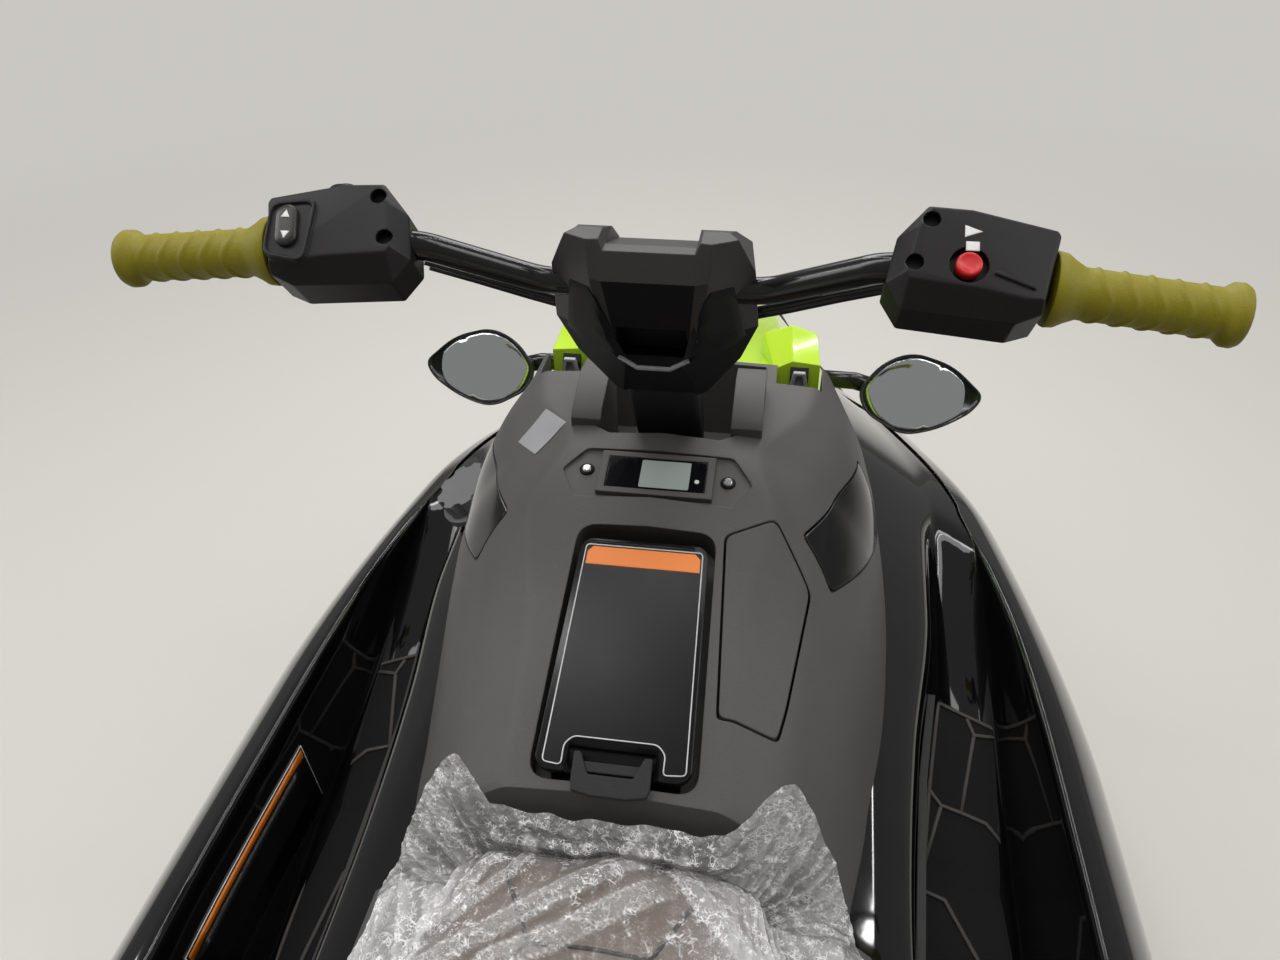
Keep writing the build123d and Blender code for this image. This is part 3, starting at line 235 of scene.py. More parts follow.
def moulded(name, low, high, rough_low, rough_high, grain=950, depth=0.00022, specular=0.4):
    """Moulded plastic with a fine leather-like grain."""
    material, shader = principled(name, (*low, 1), rough_low, Specular_IOR_Level=specular)
    vary_colour(material, shader, low, high, scale=1400, detail=2)
    vary_roughness(material, shader, rough_low, rough_high, scale=25)
    add_bump(material, shader, grain, depth, detail=1.0)
    return material


def metal(name, colour, rough_low, rough_high, scale):
    material, shader = principled(name, (*colour, 1), rough_low, Metallic=1.0)
    vary_roughness(material, shader, rough_low, rough_high, scale)
    add_bump(material, shader, scale * 4, depth=0.00004)
    return material


# The film's facets: cells per metre, depth
FILM_FACETS = [(90.0, 0.0022), (240.0, 0.0012), (520.0, 0.0006)]
# Painted glints: lines between the facets made opaque white and less metallic, standing in for glints of
# light: cells per metre, width as a share of a cell
FILM_PAINTED_GLINTS = [(120.0, 0.07), (260.0, 0.085)]
# Noises that make milky patches and break up the lines: cells, detail, roughness, and where they fade
FILM_PATCHES, FILM_BREAKS = ((30.0, 6.0, 0.7), (0.5, 0.62)), ((110.0, 3.0, 0.6), (0.48, 0.56))
FILM_COLOUR, FILM_ROUGHNESS, FILM_FACING = (0.88, 0.87, 0.86, 1), 0.07, 0.3
# What the film's cover and its silver are made of: base, facing away, milkiness (partly a painted reflection
# on the sides, flap and right front), milky patches, painted glint lines
FILM_COVER, FILM_SILVER = (0.02, 0.17, 0.56, 0.02, 0.85), (0.26, 0.0, -0.4, 0.1, -0.6)


def film_material():
    """Thin clear film: crumpled facets that glint, with painted glint lines along their creases, milky along
    its folds and where it turns away, the milkiness there partly a painted reflection.
    """
    material, shader = principled("film_clear", FILM_COLOUR, FILM_ROUGHNESS, Specular_IOR_Level=1.0)

    def maths(operation, a, b, clamp=False):
        made = node(material, "ShaderNodeMath", [(0, *a), (1, *b)], operation=operation, use_clamp=clamp)
        return made, "Value"

    def span(source, out, low, high, first=0.0, last=1.0):
        made = node(material, "ShaderNodeMapRange", [("Value", source, out)],
                    From_Min=low, From_Max=high, To_Min=first, To_Max=last)
        return made, "Result"

    facets = []
    for scale, depth in FILM_FACETS:
        cells = pattern(material, "Voronoi", Scale=scale)
        links = [("Height", cells, "Distance"), *facets]
        bump = node(material, "ShaderNodeBump", links, Strength=1.0, Distance=depth)
        facets = [("Normal", bump, "Normal")]
    link(material, bump, "Normal", shader, "Normal")
    # Milkiness from the film's mesh, partly a painted reflection, makes the film whiter and more opaque
    haze_and_painted_reflection = node(material, "ShaderNodeAttribute", attribute_name="haze_and_painted_reflection"), "Fac"
    facing = node(material, "ShaderNodeLayerWeight", facets, Blend=FILM_FACING), "Facing"
    patches = span(noise(material, *FILM_PATCHES[0]), "Fac", *FILM_PATCHES[1])
    broken = span(noise(material, *FILM_BREAKS[0]), "Fac", *FILM_BREAKS[1])
    # Painted glints: crease lines, broken up and kept where the film is milky or patchy, turn the film opaque
    # white
    edges = []
    for scale, width in FILM_PAINTED_GLINTS:
        cells = pattern(material, "Voronoi", feature="DISTANCE_TO_EDGE", Scale=scale)
        edges.append(span(cells, "Distance", 0.0, width, 1.0, 0.0))
    lines = maths("MULTIPLY", maths("MAXIMUM", *edges), broken)
    painted_glints = maths("MULTIPLY", lines, maths("ADD", haze_and_painted_reflection, patches), clamp=True)
    for socket, (base, *weights) in (("Alpha", FILM_COVER), ("Metallic", FILM_SILVER)):
        total = None
        for source, weight in zip((facing, haze_and_painted_reflection, patches, painted_glints), weights):
            if weight:
                links = [(0, *source)] + ([(2, total, "Value")] if total else [])
                total = node(material, "ShaderNodeMath", links, operation="MULTIPLY_ADD", use_clamp=True)
                total.inputs[1].default_value, total.inputs[2].default_value = weight, base
        link(material, total, "Value", shader, socket)
    return material


# Glossy materials: darkest and lightest colour, lowest and highest roughness, then coat and specular level
GLOSSY = {
    "gloss_black": ((0.003, 0.003, 0.0035), (0.005, 0.005, 0.0055), 0.03, 0.08, 0.6),
    "smoked_gloss": ((0.006, 0.006, 0.007), (0.009, 0.009, 0.010), 0.1, 0.16, 0.0, 0.3),
    "plate_silver": ((0.30, 0.30, 0.31), (0.36, 0.36, 0.37), 0.3, 0.4),
    "glass_dark": ((0.004, 0.004, 0.005), (0.006, 0.006, 0.007), 0.06, 0.1),
    "lime_gloss": ((0.48, 0.74, 0.025), (0.52, 0.78, 0.035), 0.12, 0.2, 0.5),
    "bar_paint": ((0.008, 0.008, 0.008), (0.012, 0.012, 0.012), 0.1, 0.2),
    "button_red": ((0.55, 0.012, 0.012), (0.6, 0.02, 0.02), 0.2, 0.3),
    "screen_glass": ((0.30, 0.34, 0.32), (0.33, 0.37, 0.34), 0.12, 0.2),
    "mark_pale": ((0.68, 0.68, 0.66), (0.76, 0.76, 0.74), 0.25, 0.35),
    "mark_orange": ((0.82, 0.2, 0.015), (0.88, 0.24, 0.02), 0.25, 0.35),
    "lip_grey": ((0.26, 0.26, 0.27), (0.3, 0.3, 0.31), 0.3, 0.4),
    "label_black": ((0.004, 0.004, 0.005), (0.006, 0.006, 0.007), 0.2, 0.27, 0.0, 0.3),
}
# Moulded materials: the same four, then the grain's cells per metre and depth, and the specular level
MOULDED = {
    "mould_grey": ((0.066, 0.063, 0.059), (0.084, 0.08, 0.075), 0.5, 0.6),
    "mould_black": ((0.011, 0.011, 0.012), (0.02, 0.02, 0.021), 0.45, 0.58, 950, 0.00022, 0.3),
    "knee_grey": ((0.022, 0.021, 0.021), (0.03, 0.029, 0.028), 0.55, 0.65, 950, 0.00022, 0.25),
    "seat_seam": ((0.035, 0.03, 0.027), (0.05, 0.043, 0.038), 0.55, 0.7, 500, 0.0001),
    "lime_grip": ((0.2, 0.172, 0.004), (0.25, 0.215, 0.007), 0.55, 0.66, 700, 0.0002),
    "bumper_rubber": ((0.016, 0.016, 0.017), (0.026, 0.026, 0.027), 0.55, 0.7, 500, 0.0003),
    "mat_foam": ((0.011, 0.011, 0.012), (0.018, 0.018, 0.019), 0.75, 0.9, 600, 0.0004, 0.2),
    "mat_line": ((0.075, 0.067, 0.06), (0.1, 0.09, 0.08), 0.6, 0.75, 700, 0.0002),
    "seat_vinyl": ((0.145, 0.11, 0.09), (0.18, 0.14, 0.118), 0.45, 0.6, 500, 0.0002),
    "cap_grey": ((0.13, 0.13, 0.135), (0.16, 0.16, 0.165), 0.45, 0.6),
    "pad_black": ((0.03, 0.028, 0.027), (0.04, 0.037, 0.036), 0.45, 0.55, 900, 0.0001),
    "pad_inset": ((0.003, 0.003, 0.004), (0.005, 0.005, 0.006), 0.5, 0.62, 900, 0.0001, 0.2),
    "housing_black": ((0.007, 0.006, 0.006), (0.012, 0.010, 0.010), 0.4, 0.5, 1100, 0.00006, 0.28),
    "rocker_black": ((0.02, 0.017, 0.016), (0.028, 0.024, 0.022), 0.3, 0.4, 1100, 0.00004),
}
# Metals: colour, lowest and highest roughness, and cells of its unevenness per metre
METALS = {
    "mirror_silver": ((0.85, 0.87, 0.88), 0.01, 0.03, 20),
    "pump_alloy": ((0.52, 0.53, 0.54), 0.3, 0.5, 60),
    "steel": ((0.6, 0.6, 0.6), 0.2, 0.35, 90),
}
# CAD nodes, and slots of the record, whose material has another name than the slot
OTHER_LOOKS = {
    "knee_panels": "knee_grey",
    "display_glass": "glass_dark",
    "bar_steel": "bar_paint",
    "mirror": "mirror_silver",
}

materials = {"film_clear": film_material()}
for make, table in ((gloss, GLOSSY), (moulded, MOULDED), (metal, METALS)):
    for name, row in table.items():
        materials[name] = make(name, *row)


def dress_nodes():
    """Gives every CAD node the material of its slot in the record."""
    for part in frame["record"]["subparts"]:
        name, slot = part["node"], part["material_slot"]
        look = OTHER_LOOKS.get(name) or OTHER_LOOKS.get(slot, slot)
        nodes[name].data.materials.clear()
        nodes[name].data.materials.append(materials[look])


def place(piece, body, slot=None, *stands_for):
    """Says which body a piece rides on and hides the CAD nodes it stands for; the slot in the record is not
    used.
    """
    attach(piece, body)
    if stands_for:
        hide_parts(*stands_for)


# Curves and outlines

def smoothstep(low, high, value):
    t = min(max((value - low) / (high - low), 0.0), 1.0)
    return t * t * (3 - 2 * t)


def lerp(a, b, t):
    return a + (b - a) * t


def along_rows(rows, y):
    """The row at a station, on a smooth curve through a table whose first column is the station."""
    if y <= rows[0][0]:
        return rows[0][1:]
    if y >= rows[-1][0]:
        return rows[-1][1:]
    i = max(k for k in range(len(rows) - 1) if rows[k][0] <= y)
    low, high = rows[i], rows[i + 1]
    span = high[0] - low[0]
    t = (y - low[0]) / span
    result = []
    for c in range(1, len(low)):
        slope = (high[c] - low[c]) / span
        before = slope if i == 0 else (low[c] - rows[i - 1][c]) / (low[0] - rows[i - 1][0])
        after = slope if i + 2 == len(rows) else (rows[i + 2][c] - high[c]) / (rows[i + 2][0] - high[0])
        m0 = 0.0 if before * slope <= 0 else 2 * before * slope / (before + slope)
        m1 = 0.0 if after * slope <= 0 else 2 * after * slope / (after + slope)
        h = (2 * t**3 - 3 * t**2 + 1, t**3 - 2 * t**2 + t, 3 * t**2 - 2 * t**3, t**3 - t**2)
        result.append(h[0] * low[c] + h[1] * span * m0 + h[2] * high[c] + h[3] * span * m1)
    return result


def curve(start, control, end, steps):
    """Points from start to end on a curve drawn towards a control point."""
    shares = [k / steps for k in range(steps + 1)]
    return [start * (1 - t) ** 2 + control * 2 * t * (1 - t) + end * t**2 for t in shares]


def turned(before, corner, after, radius, steps, share):
    """Points that round a corner, reaching no further along its sides than a share of them."""
    here = Vector(corner[:2])
    back, ahead = Vector(before[:2]) - here, Vector(after[:2]) - here
    reach = min(radius, back.length * share, ahead.length * share)
    return curve(here + back.normalized() * reach, here, here + ahead.normalized() * reach, steps)


def rounded(corners, steps=5, runs=3):
    """Points along an open line whose inner corners, each (x, z, radius), are rounded."""
    points = [Vector(corners[0][:2])]
    for before, corner, after in zip(corners, corners[1:], corners[2:]):
        bend = turned(before, corner, after, corner[2], steps, 0.45)
        for k in range(1, runs):
            points.append(points[-1].lerp(bend[0], 1 / (runs - k + 1)))
        points += bend
    last = Vector(corners[-1][:2])
    for k in range(1, runs + 1):
        points.append(points[-1].lerp(last, 1 / (runs - k + 1)))
    return points


def rounded_loop(corners, radius, steps=6):
    """A closed outline with every corner rounded."""
    points = []
    for k, corner in enumerate(corners):
        points += turned(corners[k - 1], corner, corners[(k + 1) % len(corners)], radius, steps, 0.48)
    return points


def grown(outline, by):
    """A closed outline moved outward by a distance, mitred at its corners."""
    turning = sum(a[0] * b[1] - b[0] * a[1] for a, b in zip(outline, outline[1:] + outline[:1]))
    by = by if turning > 0 else -by
    result = []
    for k, corner in enumerate(outline):
        here = Vector(corner)
        back = (here - Vector(outline[k - 1])).normalized()
        ahead = (Vector(outline[(k + 1) % len(outline)]) - here).normalized()
        out = Vector((back.y + ahead.y, -back.x - ahead.x))
        result.append(here + out * (by / max(0.3, 1 + back.dot(ahead))))
    return result


def shrunk(outline, share):
    """An outline drawn in towards its middle."""
    middle = sum(outline, Vector((0, 0))) / len(outline)
    return [middle + (p - middle) * share for p in outline]


def spaced(points, step):
    """Points along straight runs, no further apart than a step."""
    result = []
    for a, b in zip(points, points[1:]):
        a, b = Vector(a), Vector(b)
        count = max(1, round((b - a).length / step))
        result += [a.lerp(b, k / count) for k in range(count)]
    return result + [Vector(points[-1])]


def disc(radius, centre=(0, 0), sides=28, stretch=1.0):
    return [
        (centre[0] + radius * cos(turn), centre[1] + radius * stretch * sin(turn))
        for turn in (2 * pi * k / sides for k in range(sides))
    ]


def capsule(half_wide, half_long, centre, turn, sides=10):
    """A slot's outline, longest across its own up direction."""
    points = []
    for sign in (1, -1):
        for a in (pi * k / sides for k in range(sides + 1)):
            points.append((sign * half_wide * cos(a), sign * (half_long - half_wide + half_wide * sin(a))))
    c, s = cos(turn), sin(turn)
    return [(centre[0] + x * c - y * s, centre[1] + x * s + y * c) for x, y in points]


def mirrored(half, y):
    """A closed ring at a station, from its starboard half in x and z."""
    return [(p.x, y, p.y) for p in half] + [(-p.x, y, p.y) for p in reversed(half) if p.x > 0]


def inclined(at, tilt):
    """Axes of a plane that leans back by an angle: origin, to starboard, up the slope, and its normal."""
    up, normal = Vector((0, cos(tilt), sin(tilt))), Vector((0, -sin(tilt), cos(tilt)))
    return Vector(at), Vector((1, 0, 0)), up, normal


def on_plane(axes, across, along, over=0.0):
    at, right, up, normal = axes
    return at + right * across + up * along + normal * over


# Meshes

def new_object(name, vertices, faces, material=None, smooth=True):
    mesh = bpy.data.meshes.new(name)
    mesh.from_pydata([tuple(v) for v in vertices], [], faces)
    mesh.validate()
    mesh.update()
    if material:
        mesh.materials.append(materials[material])
    if smooth:
        mesh.polygons.foreach_set("use_smooth", [True] * len(mesh.polygons))
    return in_scene(name, mesh)


def grid_faces(rows, wide):
    """Faces between the points of a grid that are listed row by row."""
    corners = [r * wide + c for r in range(rows - 1) for c in range(wide - 1)]
    return [(k, k + 1, k + wide + 1, k + wide) for k in corners]


def skin_rings(name, rings, material=None, caps=True):
    """A surface through closed rings of as many points each."""
    count = len(rings[0])
    faces = []
    for start in range(0, (len(rings) - 1) * count, count):
        for k in range(count):
            n = (k + 1) % count
            faces.append((start + k, start + n, start + count + n, start + count + k))
    if caps:
        faces.append(tuple(range(count - 1, -1, -1)))
        faces.append(tuple((len(rings) - 1) * count + k for k in range(count)))
    obj = new_object(name, [point for ring in rings for point in ring], faces, material)
    fix_normals(obj)
    return obj


def fix_normals(obj):
    work = bmesh.new()
    work.from_mesh(obj.data)
    bmesh.ops.remove_doubles(work, verts=work.verts, dist=1e-6)
    bmesh.ops.recalc_face_normals(work, faces=work.faces)
    work.to_mesh(obj.data)
    work.free()


def apply_modifiers(obj):
    bpy.context.view_layer.update()
    graph = bpy.context.evaluated_depsgraph_get()
    mesh = bpy.data.meshes.new_from_object(obj.evaluated_get(graph))
    obj.modifiers.clear()
    obj.data = mesh


def modify(obj, kind, **settings):
    """Adds a modifier with its settings and applies it."""
    modifier = obj.modifiers.new(kind, kind)
    for key, value in settings.items():
        setattr(modifier, key, value)
    apply_modifiers(obj)


def boolean(obj, other, operation):
    """Joins, cuts or crosses a closed mesh with another, which is deleted."""
    modify(obj, "BOOLEAN", object=other, operation=operation, solver="EXACT")
    bpy.data.objects.remove(other)


def cut(obj, *cutters):
    for cutter in cutters:
        boolean(obj, cutter, "DIFFERENCE")


def smooth_by_angle(obj, degrees=32):
    """Shades faces smooth, and keeps edges that turn by more than an angle sharp."""
    mesh = obj.data
    mesh.polygons.foreach_set("use_smooth", [True] * len(mesh.polygons))
    work = bmesh.new()
    work.from_mesh(mesh)
    for edge in work.edges:
        edge.smooth = len(edge.link_faces) == 2 and edge.calc_face_angle(0.0) < radians(degrees)
    work.to_mesh(mesh)
    work.free()


def faceted(obj, bevel, angle=18):
    """Rounds the edges of a flat-faced solid and keeps its faces looking flat."""
    modify(obj, "BEVEL", width=bevel, segments=3, limit_method="ANGLE", angle_limit=radians(angle))
    smooth_by_angle(obj, 50)
    modify(obj, "WEIGHTED_NORMAL", keep_sharp=True, weight=100)


def join(name, parts):
    """Makes several meshes into one object."""
    bpy.ops.object.select_all(action="DESELECT")
    for part in parts:
        part.select_set(True)
    bpy.context.view_layer.objects.active = parts[0]
    bpy.ops.object.join()
    parts[0].name = name
    return parts[0]


def box_mesh(name, low, high):
    corners = [(x, y, z) for x in (low[0], high[0]) for y in (low[1], high[1]) for z in (low[2], high[2])]
    faces = [(0, 1, 3, 2), (4, 6, 7, 5), (0, 4, 5, 1), (2, 3, 7, 6), (0, 2, 6, 4), (1, 5, 7, 3)]
    return new_object(name, corners, faces, None, smooth=False)


def prism(name, bottoms, tops, material=None):
    """A closed solid between two loops of as many points."""
    solid = skin_rings(name, [bottoms, tops], material)
    smooth_by_angle(solid, 30)
    return solid


def plane_prism(name, axes, outline, low, high, material=None):
    """A prism on a plane, from one height over it to another."""
    return prism(name, *([on_plane(axes, *p, over) for p in outline] for over in (low, high)), material)


def front_prism(name, outline, y_low, y_high, material=None):
    """A prism along the craft, from its outline as the rider sees it."""
    return prism(name, *([(x, y, z) for x, z in outline] for y in (y_low, y_high)), material)


def side_prism(name, outline, x_low, x_high):
    """A prism across the craft, from its outline seen from the side."""
    return prism(name, *([(x, y, z) for y, z in outline] for x in (x_low, x_high)))


def plane_rings(name, axes, rows, material):
    """A solid from outlines in a plane, each at its own height over it."""
    return skin_rings(name, [[on_plane(axes, *p, over) for p in outline] for outline, over in rows], material)


def lathed(name, axes, spot, profile, material, sides=28):
    """A round solid on a plane, from radii and heights over it."""
    return plane_rings(name, axes, [(disc(radius, spot, sides), over) for radius, over in profile], material)


def tube(name, points, radius, material, sides=14):
    """A round bar through points, with flat ends."""
    rings = []
    last = len(points) - 1
    for k, point in enumerate(points):
        along = (points[min(k + 1, last)] - points[max(k - 1, 0)]).normalized()
        right = along.orthogonal().normalized()
        up = along.cross(right)
        rings.append([point + (right * x + up * y) * radius for x, y in disc(1.0, sides=sides)])
    return skin_rings(name, rings, material)


# How far a strip reaches into its surface, and how much of its width its top keeps
STRIP_SINK, STRIP_TOP = 0.0004, 0.8


def ribbon(name, points, normal, width, material, closed=False, thick=0.0006):
    """A thin flat strip along a line in space, on a surface that faces along the normal."""
    count = len(points)
    rings = []
    for k, point in enumerate(points):
        before = points[k - 1] if closed or k else point
        after = points[(k + 1) % count] if closed or k + 1 < count else point
        out = (after - before).normalized().cross(normal).normalized()
        widen = 1.0
        if closed or 0 < k < count - 1:
            bend = (point - before).normalized().dot((after - point).normalized())
            widen = min(1.6, (2 / max(0.4, 1 + bend)) ** 0.5)
        reach = out * width / 2 * widen
        low, high = point - normal * STRIP_SINK, point + normal * thick
        rings.append([low - reach, low + reach, high + reach * STRIP_TOP, high - reach * STRIP_TOP])
    if closed:
        rings.append(rings[0])
    return skin_rings(name, rings, material, caps=not closed)


def surface_of(*names):
    """Several objects' meshes as one tree for finding places on them."""
    work = bmesh.new()
    for name in names:
        work.from_mesh(bpy.data.objects[name].data)
    tree = BVHTree.FromBMesh(work)
    work.free()
    return tree


# Deck

STERN_Y, BOW_Y = -1.5, 1.558
# Stations along the deck are this far apart, and closer near the platform's front edge
DECK_STEP, DECK_FINE_STEP, DECK_FINE_REACH = 0.02, 0.006, 0.05
# Columns: station, rail x, rail z, crown x, crown z, inner top x, inner top z
DECK_ROWS = [
    (-1.5, 0.482, 0.108, 0.425, 0.208, 0.236, 0.214),
    (-1.0, 0.538, 0.110, 0.470, 0.318, 0.236, 0.345),
    (-0.3, 0.553, 0.114, 0.487, 0.360, 0.236, 0.452),
    (0.3, 0.538, 0.126, 0.468, 0.372, 0.236, 0.470),
    (0.7, 0.464, 0.170, 0.402, 0.384, 0.205, 0.488),
    (0.95, 0.370, 0.202, 0.309, 0.352, 0.167, 0.443),
    (1.15, 0.268, 0.222, 0.204, 0.298, 0.126, 0.362),
    (1.336, 0.163, 0.237, 0.104, 0.252, 0.080, 0.282),
    (1.558, 0.064, 0.260, 0.046, 0.290, 0.020, 0.300),
]
# Columns: station, inner foot x, outer foot x, floor z, inner top x, outer top x
WELL_ROWS = [
    (-1.16, 0.262, 0.425, 0.195, 0.238, 0.448),
    (-0.9, 0.270, 0.435, 0.134, 0.248, 0.455),
    (0.0, 0.280, 0.440, 0.130, 0.256, 0.458),
    (0.23, 0.305, 0.432, 0.188, 0.268, 0.456),
    (0.45, 0.338, 0.420, 0.262, 0.292, 0.440),
    (0.70, 0.334, 0.378, 0.452, 0.300, 0.398),
]
WELL_TOP_Z = 0.64
PLATFORM_Z, PLATFORM_FRONT_Y, PLATFORM_SLOPE = 0.195, -1.14, 0.03
# The deck's rise between crown and ridge is gentler up to this share of the way and of the height
DECK_KNEE = (0.3, 0.22)
# The gunwale's side bulges outward and upward by these shares
BULGE_OUT, BULGE_UP = 0.4, 0.6
# Forward of the footwells a groove goes on and narrows with the deck: offsets from the ridge, and the width
GROOVE_OFFSETS, GROOVE_WIDTH = (0.129, 0.173, 0.095, 0.193), 0.193
RIM_INSET, RIM_RISE = 0.012, 0.004
DECK_ROUNDING = (0.03, 0.05, 0.035, 0.02, 0.01, 0)
BIN_HOLE_DEPTH, BIN_HOLE_TOP_Z = 0.02, 0.8


def deck_line(x, crown, top):
    """Height of the deck between the gunwale's crown and the ridge, before the footwell is taken out."""
    t = min(max((crown[0] - x) / (crown[0] - top[0]), 0.0), 1.0)
    along, up = DECK_KNEE
    rise = t / along * up if t < along else lerp(up, 1.0, (t - along) / (1 - along))
    return crown[1] + rise * (top[1] - crown[1])


def flank(rail, crown, steps=12):
    """The rounded side of the gunwale, on the arc through its two ends and its bulge."""
    start, end = Vector(rail), Vector(crown)
    wide = (rail[0] + crown[0]) / 2 + BULGE_OUT * (rail[0] - crown[0])
    bulge = Vector((wide, lerp(rail[1], crown[1], BULGE_UP)))
    return curve(start, bulge * 2 - (start + end) / 2, end, steps)[:-1]


def wall_x(foot, head, floor, z):
    """Distance of a footwell's wall from the centre plane at a height."""
    return foot + (head - foot) * (z - floor) / (WELL_TOP_Z - floor)


def deck_half(y):
    """Outline of the starboard half of the deck at a station, from the rail to the centre plane."""
    rail_x, rail_z, crown_x, crown_z, top_x, top_z = along_rows(DECK_ROWS, y)
    foot_in, foot_out, floor, top_in, top_out = along_rows(WELL_ROWS, y)
    crown, top = (crown_x, crown_z), (top_x, top_z)
    if y > WELL_ROWS[-1][0]:
        narrow = (crown_x - top_x) / GROOVE_WIDTH
        foot_in, foot_out, top_in, top_out = (top_x + offset * narrow for offset in GROOVE_OFFSETS)
    rim_x = min(wall_x(foot_out, top_out, floor, crown_z), crown_x - RIM_INSET)
    inner_x = wall_x(foot_in, top_in, floor, top_z) if y < WELL_ROWS[-1][0] else top_in
    spots = [(rim_x, deck_line(rim_x, crown, top) + RIM_RISE)]
    spots += [(foot, min(floor, deck_line(foot, crown, top))) for foot in (foot_out, foot_in)]
    spots += [(inner_x, deck_line(inner_x, crown, top)), top, (0, top_z)]
    low = 1 - smoothstep(PLATFORM_FRONT_Y - PLATFORM_SLOPE, PLATFORM_FRONT_Y, y)
    corners = [(x, lerp(z, min(z, PLATFORM_Z), low), radius) for (x, z), radius in zip(spots, DECK_ROUNDING)]
    return flank((rail_x, rail_z), crown) + rounded([(*crown, 0), *corners])


def make_deck_shell():
    stations, y = [], STERN_Y
    while y < BOW_Y:
        stations.append(y)
        y += DECK_FINE_STEP if abs(y - PLATFORM_FRONT_Y) < DECK_FINE_REACH else DECK_STEP
    stations.append(BOW_Y)
    shell = skin_rings("deck_shell", [mirrored(deck_half(y), y) for y in stations], "gloss_black")
    low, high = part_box("bow_bin")
    low.z, high.z = low.z - BIN_HOLE_DEPTH, BIN_HOLE_TOP_Z
    cut(shell, box_mesh("bin_hole", low, high))
    smooth_by_angle(shell, 40)
    place(shell, "craft", "gloss_black", "deck", "gunwales")


# Cowl

COWL_REAR_Y, COWL_FRONT_Y, COWL_FOOT_Z = 0.004, 0.5, 0.395
COWL_STEP = 0.008
# Columns: station, centre z, edge x, edge z, shoulder x, shoulder z, side x, side z, skirt x, skirt z, foot x
COWL_ROWS = [
    (0.004, 0.646, 0.086, 0.639, 0.130, 0.606, 0.162, 0.540, 0.205, 0.450, 0.232),
    (0.130, 0.699, 0.091, 0.692, 0.145, 0.650, 0.190, 0.560, 0.228, 0.450, 0.246),
    (0.248, 0.743, 0.113, 0.733, 0.150, 0.702, 0.203, 0.630, 0.237, 0.492, 0.256),
    (0.317, 0.756, 0.090, 0.751, 0.154, 0.722, 0.210, 0.646, 0.242, 0.500, 0.260),
    (0.395, 0.763, 0.136, 0.750, 0.176, 0.724, 0.214, 0.652, 0.246, 0.502, 0.262),
    (0.500, 0.744, 0.156, 0.739, 0.175, 0.702, 0.206, 0.640, 0.238, 0.520, 0.262),
]
COWL_ROUNDING = (0.008, 0.02, 0.05, 0.05)

LID_FRONT, LID_REAR = (0.209, 0.727), (0.014, 0.655)
LID_LENGTH = hypot(LID_FRONT[0] - LID_REAR[0], LID_FRONT[1] - LID_REAR[1])
LID_HALF_FRONT, LID_HALF_REAR = 0.057, 0.063
LID_GAP, LID_FRONT_GAP, LID_THICK = 0.0055, 0.015, 0.008
LID_RECESS_RADIUS, LID_RECESS_DEPTH = 0.018, 0.038
DISPLAY_AT, DISPLAY_TILT = (0.0, 0.282, 0.743), radians(12)
DISPLAY_POCKET = [
    (-0.074, -0.029), (0.074, -0.029), (0.09, -0.002), (0.07, 0.029), (-0.07, 0.029), (-0.09, 0.002),
]
TROUGH = [(-0.092, 0.492), (-0.092, 0.36), (-0.054, 0.334), (0.054, 0.334), (0.092, 0.36), (0.092, 0.492)]
TROUGH_FLOOR_Z = 0.65
CHEEK_X = (0.064, 0.094)
CHEEK = [(0.345, 0.64), (0.345, 0.761), (0.352, 0.768), (0.402, 0.782), (0.432, 0.776), (0.432, 0.64)]
CHANNEL_LOW, CHANNEL_HIGH = (0.104, 0.452, 0.682), (0.152, 0.52, 0.9)
COLUMN_AT, COLUMN_TILT, COLUMN_R = (0.0, 0.4, 0.73), radians(30), 0.0203
BORE_DEPTH = 0.17
# Heights and a width that the cutting solids reach, clear of the cowl
CUT_OVER, CUT_TOP_Z, CUT_SIDE_X = 0.08, 0.9, 0.3
# Outlines of the panels let into the cowl: the smoked one in (y, z), the access panel in (x, y)
SMOKED_PANEL = [(0.252, 0.712), (0.405, 0.690), (0.398, 0.6), (0.229, 0.666)]
ACCESS_PANEL = [(0.07, 0.224), (0.113, 0.248), (0.149, 0.208), (0.134, 0.104), (0.128, 0.076), (0.078, 0.07)]
SEAM = 0.0011
PANEL_ROUNDING = 0.006
ACCESS_CUT, ACCESS_TOP_Z, SMOKED_CUT = 0.03, 0.85, 0.025
POCKET_ROUNDING, POCKET_TOP = 0.004, 0.06

LID_AXES = inclined((0, *LID_REAR), atan2(LID_FRONT[1] - LID_REAR[1], LID_FRONT[0] - LID_REAR[0]))
DISPLAY_AXES = inclined(DISPLAY_AT, DISPLAY_TILT)
COLUMN_AXES = inclined(COLUMN_AT, COLUMN_TILT)


def cowl_half(y):
    mid_z, *row, foot_x = along_rows(COWL_ROWS, y)
    corners = [(x, z, radius) for x, z, radius in zip(row[::2], row[1::2], COWL_ROUNDING)]
    return rounded([(0, mid_z, 0), *corners, (foot_x, COWL_FOOT_Z, 0)], 5, 2)


def cowl_top(x, y):
    """Height of the cowl over a point, on its upper faces."""
    half = cowl_half(y)
    for a, b in zip(half, half[1:]):
        if a.x <= abs(x) <= b.x and b.x > a.x:
            return lerp(a.y, b.y, (abs(x) - a.x) / (b.x - a.x))
    return half[-1].y


def cowl_side(y, z):
    """Distance of the cowl's side from the centre plane at a height."""
    half = cowl_half(y)
    for a, b in zip(half, half[1:]):
        if b.y <= z <= a.y and a.y > b.y:
            return lerp(a.x, b.x, (a.y - z) / (a.y - b.y))
    return half[0].x


